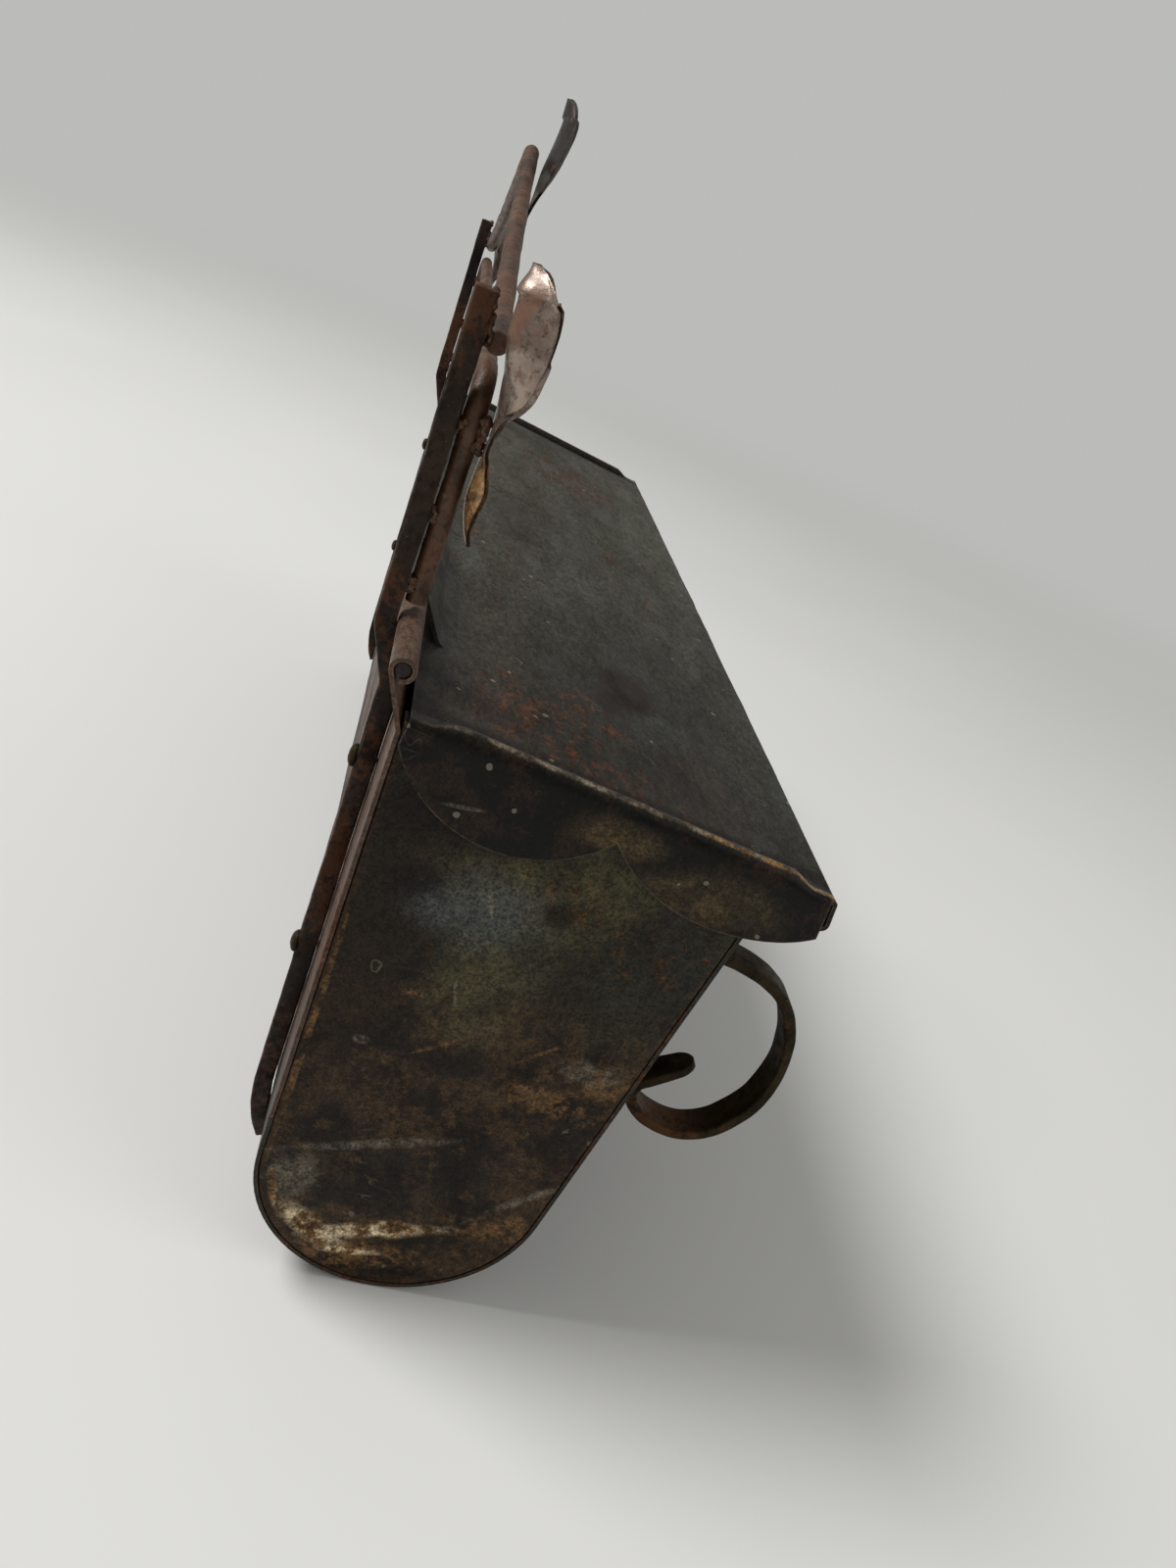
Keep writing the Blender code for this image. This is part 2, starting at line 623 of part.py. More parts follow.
def leaf(name, x_middle, stem_z, seat_reach, material):
    """Sheet leaf: a small lobe, a waist and a large lobe, cupped forwards on both sides of the rib."""
    points = []
    for face in (0, 1):
        for row in range(LEAF_ROWS + 1):
            share = row / LEAF_ROWS
            half = LEAF_WIDTH / 2 * between(LEAF_WIDTH_SHARES, share)
            height = stem_z + LEAF_LENGTH * share
            for column in range(LEAF_COLUMNS + 1):
                across = 2 * column / LEAF_COLUMNS - 1
                cup = LEAF_CUP * between(LEAF_CUP_SHARES, share) * across * across
                ripple = LEAF_RIPPLE * abs(across) * sin(LEAF_RIPPLE_TURNS * share)
                bow = LEAF_STEM_OUT * between(LEAF_STEM_SHARES, share)
                bow -= LEAF_TIP_BACK * between(LEAF_TIP_SHARES, share)
                reach = seat_reach + cup + max(ripple, -cup) + bow + LEAF_THICKNESS * face
                points.append((x_middle + half * across, -reach, height))
    wide = LEAF_COLUMNS + 1
    layer = wide * (LEAF_ROWS + 1)
    faces = []
    for row in range(LEAF_ROWS):
        for column in range(LEAF_COLUMNS):
            a = row * wide + column
            for shift in (0, layer):
                faces.append([a + shift, a + 1 + shift, a + 1 + wide + shift, a + wide + shift])
        for a in (row * wide, row * wide + LEAF_COLUMNS):
            faces.append([a, a + wide, a + wide + layer, a + layer])
    for start in (0, LEAF_ROWS * wide):
        for column in range(LEAF_COLUMNS):
            a = start + column
            faces.append([a, a + 1, a + 1 + layer, a + layer])
    return from_faces(name, points, faces, material)


def hook_path():
    """Middle line of a hook: a tab flat on the front wall, a wide loop and a tip folded back inside it."""
    tab_top = RIM_Z - HOOK_TAB_DROP
    tab_foot = tab_top - HOOK_TAB
    stand_off = SEAT_GAP + STRAP_THICKNESS / 2
    foot = (front_reach(tab_foot) + stand_off / cos(LEAN), tab_foot)
    head = (front_reach(tab_top) + stand_off / cos(LEAN), tab_top)
    loop = [(foot[0] + HOOK_REACH * out, foot[1] - HOOK_DROP * down) for out, down in HOOK_SHARES]
    return rounded([head, foot, loop[0]], HOOK_BEND)[:-1] + smooth(loop)


def hook_rivet_places():
    """(reach, height) of the upper and the lower rivet of a hook, on the front wall's outer face."""
    drops = (HOOK_RIVET_DROP, HOOK_RIVET_DROP + HOOK_RIVET_SPACING)
    return [(front_reach(RIM_Z - drop), RIM_Z - drop) for drop in drops]


def paper_hook(name, side, material):
    x_middle = side * HOOK_X
    outline = band(hook_path(), STRAP_THICKNESS)
    hook = prism(name, outline, x_middle - STRAP_WIDTH / 2, x_middle + STRAP_WIDTH / 2, material)
    drills = []
    for number, place in enumerate(hook_rivet_places()):
        drills.append(rivet_hole(f"{name}_hole_{number}", x_middle, place, STRAP_THICKNESS * 2))
    return boolean(hook, drills, "DIFFERENCE")


def front_normal():
    return Vector((0, -cos(LEAN), -sin(LEAN)))


def rivet_hole(name, x_middle, place, depth):
    centre = Vector((x_middle, -place[0], place[1]))
    path = [centre - front_normal() * depth, centre + front_normal() * depth]
    return sweep(name, path, circle(RIVET_SHANK / 2 + SEAT_GAP))


def rivet(name, centre, axis, grip, material):
    """Round-head rivet: its grip starts at the centre and runs along the axis, heads outside both faces."""
    head = RIVET_HEAD / 2
    shank = RIVET_SHANK / 2
    gap = SEAT_GAP
    crown, swell = RIVET_CROWN_SHARES
    profile = [(0, -gap - RIVET_HEAD_HEIGHT), (head * crown, -gap - RIVET_HEAD_HEIGHT * swell), (head, -gap)]
    profile += [(shank, -gap), (shank, grip + gap), (head, grip + gap)]
    profile += [(head * crown, grip + gap + RIVET_HEAD_HEIGHT * swell), (0, grip + gap + RIVET_HEAD_HEIGHT)]
    return turned(name, profile, centre, axis, material)


def hook_rivets(material):
    """Two rivets for each hook, through the strap and the front wall."""
    grip = SHEET + SEAT_GAP + STRAP_THICKNESS
    for side, word in ((-1, "left"), (1, "right")):
        for place, level in zip(hook_rivet_places(), ("upper", "lower")):
            inner = Vector((side * HOOK_X, -place[0], place[1])) - front_normal() * SHEET
            rivet(f"{word}_hook_rivet_{level}", inner, front_normal(), grip, material)


def post_rivet_places():
    """Heights of the rivets that hold each post to the back sheet."""
    top = HINGE_Z - HINGE_JOGGLE
    foot = BOTTOM_CENTRE[1] + BACK_SEAM_RISE
    return [top + (foot - top) * share for share in POST_RIVET_DROPS_SHARE]


def post_rivets(material):
    """Two rivets for each post, through the bar and the back sheet."""
    grip = BAR + SEAT_GAP + SHEET
    for side, word in ((-1, "left"), (1, "right")):
        for height, place in zip(post_rivet_places(), ("upper", "lower")):
            centre = (side * POST_X, -POST_JOGGLE, height)
            rivet(f"{word}_post_rivet_{place}", centre, (0, -1, 0), grip, material)


def drill_for_rivets(posts, back, front):
    """Holes for every rivet in the posts, the back sheet and the front sheet."""
    for thing, side in zip(posts, (-1, 1)):
        for number, height in enumerate(post_rivet_places()):
            start = Vector((side * POST_X, CUT_OVERRUN, height))
            end = Vector((side * POST_X, -BACK_REACH - SHEET - CUT_OVERRUN, height))
            drill = sweep(f"{thing.name}_hole_{number}", [start, end], circle(RIVET_SHANK / 2 + SEAT_GAP))
            boolean(thing, [drill], "DIFFERENCE")
            boolean(back, [drill], "DIFFERENCE")
    for side, word in ((-1, "left"), (1, "right")):
        for number, place in enumerate(hook_rivet_places()):
            drill = rivet_hole(f"front_hole_{word}_{number}", side * HOOK_X, place, 2 * SHEET)
            boolean(front, [drill], "DIFFERENCE")


def build():
    clear_scene()
    top_steel = steel("lid_steel", *FINISH_SHARES["lid_steel"])
    box_steel = steel("box_steel", *FINISH_SHARES["box_steel"])
    bar_steel = steel("bar_steel", *FINISH_SHARES["bar_steel"])
    rod_steel = steel("rod_steel", *FINISH_SHARES["rod_steel"])
    leaf_steel = steel("leaf_steel", *FINISH_SHARES["leaf_steel"])
    strap_steel = steel("strap_steel", *FINISH_SHARES["strap_steel"])

    back = back_sheet(box_steel)
    front = pocket_sheet(box_steel)
    end_plate("left_end_plate", -1, box_steel)
    end_plate("right_end_plate", 1, box_steel)
    lid(top_steel)
    hinge_pin(bar_steel)
    posts = [post("left_post", -1, bar_steel), post("right_post", 1, bar_steel)]
    crest_arch(rod_steel)
    scroll("left_scroll", -1, rod_steel)
    scroll("right_scroll", 1, rod_steel)
    leaf_seat = ROD_REACH + ROD / 2 + SEAT_GAP
    leaf("left_leaf", -POST_X, POST_TOP - SIDE_LEAF_DROP, leaf_seat, leaf_steel)
    leaf("right_leaf", POST_X, POST_TOP - SIDE_LEAF_DROP, leaf_seat, leaf_steel)
    leaf("crest_leaf", 0, POST_TOP - CREST_LEAF_DROP, leaf_seat, leaf_steel)
    paper_hook("left_paper_hook", -1, strap_steel)
    paper_hook("right_paper_hook", 1, strap_steel)
    hook_rivets(strap_steel)
    post_rivets(bar_steel)
    drill_for_rivets(posts, back, front)
    print("front wall leans", round(degrees(LEAN), 2), "degrees")


build()
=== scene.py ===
"""Looks of an old wall mailbox: worn dark paint over rust on sheet steel, rusty rods, leaves and hooks."""

from math import acos, asin, atan2, ceil, cos, hypot, pi, radians, sin, sqrt, tan

import bmesh
import bpy
from mathutils import Matrix, Vector, noise


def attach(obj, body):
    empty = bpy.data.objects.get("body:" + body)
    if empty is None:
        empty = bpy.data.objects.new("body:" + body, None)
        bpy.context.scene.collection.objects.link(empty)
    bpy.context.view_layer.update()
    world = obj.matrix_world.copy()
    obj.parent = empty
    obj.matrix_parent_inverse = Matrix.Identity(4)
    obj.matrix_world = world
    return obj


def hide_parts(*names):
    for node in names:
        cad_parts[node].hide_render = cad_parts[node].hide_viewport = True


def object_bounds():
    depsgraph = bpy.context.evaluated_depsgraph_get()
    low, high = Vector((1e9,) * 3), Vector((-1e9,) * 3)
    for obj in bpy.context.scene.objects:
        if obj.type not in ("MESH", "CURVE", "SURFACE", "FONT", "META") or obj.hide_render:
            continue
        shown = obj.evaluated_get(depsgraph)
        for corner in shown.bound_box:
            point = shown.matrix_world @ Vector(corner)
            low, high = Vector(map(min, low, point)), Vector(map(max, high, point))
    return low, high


bl_info = {
    "name": "Old wall mailbox",
    "version": (1, 0, 0),
    "blender": (4, 5, 0),
    "location": "3D View > Sidebar > Mailbox",
    "description": "Builds the visible pieces, finishes and stage of an old wall mailbox",
    "category": "Object",
}

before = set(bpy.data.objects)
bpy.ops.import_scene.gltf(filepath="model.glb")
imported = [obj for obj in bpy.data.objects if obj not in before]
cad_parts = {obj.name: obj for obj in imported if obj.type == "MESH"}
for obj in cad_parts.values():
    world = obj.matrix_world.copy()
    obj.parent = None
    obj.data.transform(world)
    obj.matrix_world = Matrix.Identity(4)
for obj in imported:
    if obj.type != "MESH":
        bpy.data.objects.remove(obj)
CAD_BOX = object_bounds()


# Sizes and colours


def length(name, text, default):
    return bpy.props.FloatProperty(name=name, description=text, default=default, min=0.0, max=1.0,
                                   subtype="DISTANCE", unit="LENGTH", precision=5)


def share(name, text, default):
    return bpy.props.FloatProperty(name=name, description=text, default=default, min=0.0, max=1.0,
                                   subtype="FACTOR")


def colour(name, text, default):
    return bpy.props.FloatVectorProperty(name=name, description=text, default=default, size=3,
                                         min=0.0, max=1.0, subtype="COLOR")


class MAILBOX_PG_sizes(bpy.types.PropertyGroup):
    """Sizes that a user may change; they start as the solid model has them."""
    sheet: length("Sheet", "Thickness of the sheet steel", 0.0010)
    bar: length("Bar", "Side of the square posts", 0.0048)
    rod: length("Rod", "Diameter of the round rods", 0.0048)
    strap: length("Strap", "Thickness of the hook strap", 0.0032)
    strap_width: length("Strap width", "Width of the hook strap", 0.0100)
    ridge_height: length("Edge ridge", "Height of the pressed ridge at each end of the lid", 0.0021)
    ridge_width: length("Edge ridge width", "Width of the pressed ridge", 0.0058)
    dent: length("Dents", "Depth of the soft dents in the sheet", 0.00035)
    hammer: length("Hammering", "Depth of the hammer marks on bars and rods", 0.00022)


class MAILBOX_PG_finish(bpy.types.PropertyGroup):
    """Colours and amounts of the finishes."""
    lid_paint: colour("Lid paint", "Charcoal paint left on the lid", (0.050, 0.051, 0.042))
    plate_paint: colour("Box paint", "Olive black paint left on the box", (0.026, 0.0255, 0.018))
    dark: colour("Grime", "Soot and grime in the corners", (0.009, 0.007, 0.006))
    rust: colour("Rust", "Fresh orange rust", (0.150, 0.052, 0.018))
    old_rust: colour("Old rust", "Dark brown rust", (0.042, 0.022, 0.014))
    flecks: colour("Flecks", "Cream paint splashes", (0.42, 0.38, 0.29))
    bare: colour("Bare steel", "Steel where paint has gone", (0.34, 0.27, 0.23))
    wear: share("Wear", "How far the edges are rubbed", 0.6)


# Profiles, as (reach from the wall, height), and where the pieces stand


SHEET = 0.0010
BAR = 0.0048
ROD = 0.0048
SEAT_GAP = 0.0003
BACK_REACH = 0.0102
RIM_REACH = 0.1017
BOTTOM_RADIUS = 0.0373
HINGE = (0.0080, -0.0300)
KNUCKLE_RADIUS = 0.0029
BOTTOM_CENTRE = (0.0475, -0.1627)
LID_PITCH = radians(7.1)
LID_BACK = (0.0122, -0.0392)
LID_FRONT_REACH = 0.1157
LID_DEPTH = (LID_FRONT_REACH - LID_BACK[0]) / cos(LID_PITCH)
BODY_LENGTH = 0.4048
LID_HALF = 0.2040
POST_X = 0.1750
POST_TOP = 0.0403
ROD_REACH = BAR + SEAT_GAP + ROD / 2
HOOK_X = 0.1660
FACET = radians(6)
ROUND_SIDES = 20
SIDES = ((-1, "left"), (1, "right"))


def point_on(centre, radius, angle):
    return (centre[0] + radius * cos(angle), centre[1] + radius * sin(angle))


def arc(centre, radius, start, end, step=FACET):
    """Points on a circle from one angle to another."""
    steps = max(3, ceil(abs(end - start) / step - 1e-6))
    return [point_on(centre, radius, start + (end - start) * i / steps) for i in range(steps + 1)]


def rounded(path, radius, step=FACET):
    """The path with its inner corners turned into arcs."""
    result = [path[0]]
    for before, corner, after in zip(path, path[1:], path[2:]):
        back = Vector(before) - Vector(corner)
        ahead = Vector(after) - Vector(corner)
        half = back.angle(ahead) / 2
        if half > radians(89):
            result.append(corner)
            continue
        leg = min(radius / tan(half), back.length / 2, ahead.length / 2)
        size = leg * tan(half)
        middle = Vector(corner) + (back.normalized() + ahead.normalized()).normalized() * size / sin(half)
        start = Vector(corner) + back.normalized() * leg - middle
        end = Vector(corner) + ahead.normalized() * leg - middle
        first = atan2(start.y, start.x)
        turn = (atan2(end.y, end.x) - first + pi) % (2 * pi) - pi
        result += arc((middle.x, middle.y), size, first, first + turn, step)
    return result + [path[-1]]


def smooth(points, steps=8):
    """Catmull-Rom curve through points of any dimension."""
    knots = [Vector(p) for p in points]
    knots = [2 * knots[0] - knots[1]] + knots + [2 * knots[-1] - knots[-2]]
    curve = []
    for a, b, c, d in zip(knots, knots[1:], knots[2:], knots[3:]):
        for i in range(steps):
            t = i / steps
            curve.append(0.5 * (2 * b + (c - a) * t + (2 * a - 5 * b + 4 * c - d) * t * t
                                + (3 * b - a - 3 * c + d) * t ** 3))
    return [tuple(p) for p in curve] + [tuple(knots[-2])]


def spaced(path, gap):
    """The same line with points no more than a gap apart."""
    result = [path[0]]
    for a, b in zip(path, path[1:]):
        start, end = Vector(a), Vector(b)
        steps = max(1, ceil((end - start).length / gap))
        result += [tuple(start.lerp(end, i / steps)) for i in range(1, steps + 1)]
    return result


def offsets(path):
    """Unit normals at the points of an open 2-D path, with the stretch that a mitre needs."""
    points = [Vector(p) for p in path]
    result = []
    for i, point in enumerate(points):
        before = (point - points[i - 1]).normalized() if i else None
        after = (points[i + 1] - point).normalized() if i + 1 < len(points) else None
        along = ((before or after) + (after or before)).normalized()
        across = Vector((-along.y, along.x))
        reach = max(across.dot(Vector((-(after or before).y, (after or before).x))), 0.6)
        result.append(across / reach)
    return result


def lid_top(reach):
    """Height of the lid's top face at a reach from the wall."""
    return LID_BACK[1] - (reach - LID_BACK[0]) * tan(LID_PITCH)


def lid_point(along, below):
    """Place on the lid's slope: along it from the back edge, and below its top face."""
    return (LID_BACK[0] + along * cos(LID_PITCH) - below * sin(LID_PITCH),
            LID_BACK[1] - along * sin(LID_PITCH) - below * cos(LID_PITCH))


RIM_Z = lid_top(RIM_REACH) - (SHEET + SEAT_GAP) / cos(LID_PITCH)


def front_lean():
    """Angle of the box's front, which touches the round bottom and ends at the rim."""
    across = RIM_REACH - BOTTOM_CENTRE[0]
    up = RIM_Z - BOTTOM_CENTRE[1]
    return atan2(across, up) - asin(BOTTOM_RADIUS / hypot(across, up))


LEAN = front_lean()


def front_reach(height):
    """How far the box's front stands from the wall at a height."""
    return RIM_REACH - (RIM_Z - height) * tan(LEAN)


def soft(low, high, value):
    """Smooth step from 0 at low to 1 at high."""
    t = min(max((value - low) / (high - low), 0.0), 1.0)
    return t * t * (3 - 2 * t)


def wobble(place, scale, seed):
    """Smooth noise from -1 to 1 at a place in the model."""
    return noise.noise(Vector(place) * scale + Vector((seed, -seed, 0.5 * seed)))


# Meshes


def place_piece(name, mesh, body, body_name, replaced, angle):
    """Makes the finished object: normals out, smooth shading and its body."""
    bmesh.ops.remove_doubles(body, verts=body.verts, dist=1e-7)
    bmesh.ops.recalc_face_normals(body, faces=body.faces)
    body.to_mesh(mesh)
    body.free()
    mesh.shade_smooth()
    mesh.set_sharp_from_angle(angle=radians(angle))
    thing = bpy.data.objects.new(name, mesh)
    bpy.context.scene.collection.objects.link(thing)
    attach(thing, body_name)
    if replaced:
        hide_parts(*replaced)
    return thing


def keep(name, body, material, body_name, replaced, angle=40):
    """Finishes a piece that was built as a bmesh."""
    thing = place_piece(name, bpy.data.meshes.new(name), body, body_name, replaced, angle)
    thing.data.materials.append(material)
    return thing


def keep_mesh(name, mesh, body_name, replaced, angle=45):
    """Finishes a piece that a node tree made."""
    body = bmesh.new()
    body.from_mesh(mesh)
    place_piece(name, mesh, body, body_name, replaced, angle)


def add_quads(body, rows, closed=False):
    """Quads between rows of vertices of equal counts."""
    for low, high in zip(rows, rows[1:]):
        count = len(low)
        for i in range(count if closed else count - 1):
            j = (i + 1) % count
            body.faces.new([low[i], low[j], high[j], high[i]])


def add_loft(body, rings):
    """Closed rings of points joined by quads and capped at both ends."""
    made = [[body.verts.new(p) for p in ring] for ring in rings]
    add_quads(body, made, True)
    body.faces.new(made[0][::-1])
    body.faces.new(made[-1])


def thicken(body, thickness, most=1.0, rim_slot=0):
    """Gives an open sheet its second face behind the first, and closes the rim between them."""
    body.normal_update()
    copies = {v: body.verts.new(v.co - v.normal * thickness * min(max(v.calc_shell_factor(), 1.0), most))
              for v in list(body.verts)}
    rim = [edge for edge in body.edges if edge.is_boundary]
    for face in list(body.faces):
        body.faces.new([copies[v] for v in reversed(face.verts)])
    for edge in rim:
        a, b = edge.verts
        body.faces.new([a, b, copies[b], copies[a]]).material_index = rim_slot


def add_ribbon(body, path, thickness, xs, bend=None):
    """Sheet of a thickness whose (reach, height) section runs along X; bend moves a point (x, reach, height, i)."""
    normals = offsets(path)
    rings = []
    for x in xs:
        ring = []
        for side in (1, -1):
            order = range(len(path)) if side > 0 else range(len(path) - 1, -1, -1)
            for i in order:
                reach = path[i][0]
                height = path[i][1]
                out = bend(x, reach, height, i) if bend else 0.0
                shift = normals[i] * (side * thickness / 2 + out)
                ring.append((x, -(reach + shift.x), height + shift.y))
        rings.append(ring)
    add_loft(body, rings)


def stations(low, high, gap):
    """Even steps from low to high, no more than a gap apart."""
    steps = max(1, ceil((high - low) / gap))
    return [low + (high - low) * i / steps for i in range(steps + 1)]


def add_sweep(body, path, section, ends, vary=None):
    """Section swept along a 3-D path without twist, with domed ends; vary scales it at (point, corner)."""
    points = [Vector(p) for p in path]
    count = len(points)
    tangents = [(points[min(i + 1, count - 1)] - points[max(i - 1, 0)]).normalized() for i in range(count)]
    side = Vector((0, 1, 0))
    if abs(tangents[0].dot(side)) > 0.9:
        side = Vector((1, 0, 0))
    rings = []
    for point, along in zip(points, tangents):
        side = (side - along * side.dot(along)).normalized()
        other = along.cross(side)
        ring = []
        for corner, (a, b) in enumerate(section):
            size = vary(point, corner) if vary else 1.0
            ring.append(tuple(point + (side * a + other * b) * size))
        rings.append(ring)
    for at, way in ((0, -1), (-1, 1)):
        centre = points[at]
        along = tangents[at]
        extra = []
        for step in (0.5, 0.85):
            shrink = sqrt(1 - step * step)
            extra.append([tuple(centre + (Vector(p) - centre) * shrink + along * way * ends * step)
                          for p in rings[at]])
        rings = extra[::-1] + rings if way < 0 else rings + extra
    add_loft(body, rings)


def round_section(radius):
    angles = [2 * pi * i / ROUND_SIDES for i in range(ROUND_SIDES)]
    return [(radius * cos(angle), radius * sin(angle)) for angle in angles]


def soft_box(width, height, corner, steps=3):
    """Rectangle with rounded corners as a closed section."""
    points = []
    for sx, sy, start in ((1, 1, 0), (-1, 1, pi / 2), (-1, -1, pi), (1, -1, 3 * pi / 2)):
        cx = sx * (width / 2 - corner)
        cy = sy * (height / 2 - corner)
        for i in range(steps + 1):
            angle = start + pi / 2 * i / steps
            points.append((cx + corner * cos(angle), cy + corner * sin(angle)))
    return points


# Shader groups


GROUPS = {}


class Graph:
    """Short way to lay nodes and links in one node tree."""

    def __init__(self, tree):
        self.tree = tree

    def feed(self, socket, value):
        """Links a socket, or gives it a plain value; a colour gets its alpha."""
        if isinstance(value, bpy.types.NodeSocket):
            self.tree.links.new(value, socket)
        else:
            socket.default_value = (*value[:3], 1.0) if socket.type == "RGBA" else value

    def node(self, kind, inputs=None, **settings):
        made = self.tree.nodes.new(kind)
        for key, value in settings.items():
            setattr(made, key, value)
        for key, value in (inputs or {}).items():
            self.feed(made.inputs[key], value)
        return made

    def math(self, operation, a, b=0.0, clamp=False):
        return self.node("ShaderNodeMath", {0: a, 1: b}, operation=operation, use_clamp=clamp).outputs[0]

    def times(self, a, b):
        return self.math("MULTIPLY", a, b)

    def plus(self, a, b):
        return self.math("ADD", a, b)

    def minus(self, a, b):
        return self.math("SUBTRACT", a, b)

    def vector(self, operation, a, b=(0.0, 0.0, 0.0), scale=None):
        inputs = {0: a, 1: b} if scale is None else {0: a, "Scale": scale}
        made = self.node("ShaderNodeVectorMath", inputs, operation=operation)
        return made.outputs["Value" if operation in ("LENGTH", "DOT_PRODUCT") else "Vector"]

    def noise(self, vector, scale, detail=4.0, rough=0.55, distortion=0.0):
        inputs = {"Vector": vector, "Scale": scale, "Detail": detail, "Roughness": rough, "Distortion": distortion}
        return self.node("ShaderNodeTexNoise", inputs).outputs["Fac"]

    def ramp(self, value, low, high, to_low=0.0, to_high=1.0):
        inputs = {"Value": value, "From Min": low, "From Max": high, "To Min": to_low, "To Max": to_high}
        return self.node("ShaderNodeMapRange", inputs, interpolation_type="SMOOTHSTEP").outputs["Result"]

    def near(self, value, centre, wide, narrow):
        """1 within narrow of the centre, 0 beyond wide."""
        return self.ramp(self.math("ABSOLUTE", self.minus(value, centre)), wide, narrow)

    def mix(self, factor, a, b, blend="MIX"):
        return self.node("ShaderNodeMix", {0: factor, 6: a, 7: b}, data_type="RGBA", blend_type=blend).outputs[2]

    def lay(self, tone, mask, amount, top, blend="MIX"):
        """Lays a colour on another where a mask is, to an amount."""
        return self.mix(self.times(mask, amount), tone, top, blend)

    def group(self, name, vector, **inputs):
        inputs = {key.replace("_", " "): value for key, value in inputs.items()}
        return self.node("ShaderNodeGroup", {"Vector": vector, **inputs}, node_tree=GROUPS[name]).outputs

    def edges(self, place, width, reach):
        return self.group("edge_wear", place, Width=width, Reach=reach)["Mask"]

    def push(self, geometry, amount):
        """Moves a geometry's points along their normals."""
        shift = self.vector("SCALE", self.node("GeometryNodeInputNormal").outputs[0], scale=amount)
        return self.node("GeometryNodeSetPosition", {"Geometry": geometry, "Offset": shift}).outputs[0]


def cloudy_tone(g, i):
    """Soft uneven tone, as of thin or sun-faded paint."""
    warp = g.noise(i["Vector"], g.times(i["Scale"], 0.6), 2.0)
    base = g.noise(g.vector("ADD", i["Vector"], (0.02, 0.015, 0.02)), i["Scale"], 7.0, 0.62, 0.4)
    return {"Mask": g.ramp(g.plus(g.times(base, 0.8), g.times(warp, 0.2)), i["Low"], i["High"])}


def rust_bloom(g, i):
    """Rust that breaks out in fields of small pits: a mask, its fine grain and a height."""
    field = g.noise(i["Vector"], i["Field Scale"], 5.0, 0.6, 0.3)
    spots = g.noise(i["Vector"], i["Spot Scale"], 5.0, 0.7)
    low = g.plus(g.times(g.minus(1.0, i["Cover"]), 0.42), 0.28)
    mask = g.ramp(g.plus(g.times(field, 0.62), g.times(spots, 0.38)), low, g.plus(low, 0.055))
    grain = g.noise(i["Vector"], g.times(i["Spot Scale"], 3.1), 3.0, 0.6)
    return {"Mask": mask, "Grain": grain, "Height": g.times(mask, grain)}


def paint_flecks(g, i):
    """Small splashes with sharp outlines, thinly scattered, and the rings that drops leave."""
    bend = g.node("ShaderNodeTexNoise", {"Vector": i["Vector"], "Scale": 420.0, "Detail": 4.0}).outputs["Color"]
    place = g.vector("ADD", i["Vector"], g.vector("SCALE", bend, scale=i["Bend"]))
    cells = g.node("ShaderNodeTexVoronoi", {"Vector": place, "Scale": i["Scale"], "Randomness": 1.0}).outputs
    pick = g.node("ShaderNodeSeparateColor", {0: cells["Color"]}).outputs
    chosen = g.math("LESS_THAN", pick[0], i["Share"])
    inside = g.minus(g.times(i["Size"], g.plus(pick[1], 0.35)), cells["Distance"])
    ring = g.ramp(g.math("ABSOLUTE", inside), 0.022, 0.004)
    return {"Mask": g.times(chosen, g.ramp(inside, 0.0, 0.03)), "Ring": g.times(chosen, ring)}


def hair_scratches(g, i):
    """Hair-thin curved scratches that come and go."""
    lines = []
    for turn, stretch in ((0.5, (1.0, 1.0, 5.0)), (-0.9, (1.0, 4.0, 1.0))):
        inputs = {"Vector": i["Vector"], "Rotation": (turn, 0.0, 0.0), "Scale": stretch}
        laid = g.node("ShaderNodeMapping", inputs).outputs[0]
        lines.append(g.near(g.noise(laid, i["Scale"], 2.0, 0.5), 0.5, 0.0050, 0.0006))
    kept = g.ramp(g.noise(i["Vector"], g.times(i["Scale"], 1.7), 4.0, 0.6),
                  g.minus(0.75, g.times(i["Amount"], 0.3)), 0.72)
    return {"Mask": g.times(g.math("MAXIMUM", *lines), kept)}


def edge_wear(g, i):
    """Rubbed edges: where a rounded normal leaves the true one."""
    round_normal = g.node("ShaderNodeBevel", {"Radius": i["Width"]}, samples=4).outputs[0]
    true_normal = g.node("ShaderNodeNewGeometry").outputs["Normal"]
    edge = g.ramp(g.vector("DOT_PRODUCT", round_normal, true_normal), 0.995, 0.80)
    ragged = g.ramp(g.noise(i["Vector"], 420.0, 4.0, 0.7), g.minus(0.85, i["Reach"]), 0.72)
    return {"Mask": g.times(edge, ragged)}


def stain_patch(g, i):
    """One patch or streak with a ragged outline, at a place, of a size and turned about X."""
    inputs = {"Vector": i["Vector"], "Location": i["Place"], "Rotation": i["Turn"], "Scale": i["Size"]}
    far = g.vector("LENGTH", g.node("ShaderNodeMapping", inputs, vector_type="TEXTURE").outputs[0])
    rough = g.minus(g.noise(i["Vector"], 75.0, 9.0, 0.7), 0.5)
    edge = g.plus(far, g.times(rough, g.times(i["Ragged"], 4.0)))
    return {"Mask": g.minus(1.0, g.ramp(edge, g.minus(1.0, i["Soft"]), g.plus(1.0, i["Soft"])))}


def hammer_marks(g, i):
    """Shallow uneven blows of a hammer with fine scale on top."""
    broad = g.noise(i["Vector"], i["Scale"], 2.0, 0.5)
    fine = g.noise(i["Vector"], g.times(i["Scale"], 7.0), 5.0, 0.65)
    return {"Height": g.plus(g.times(broad, 0.7), g.times(fine, 0.45))}


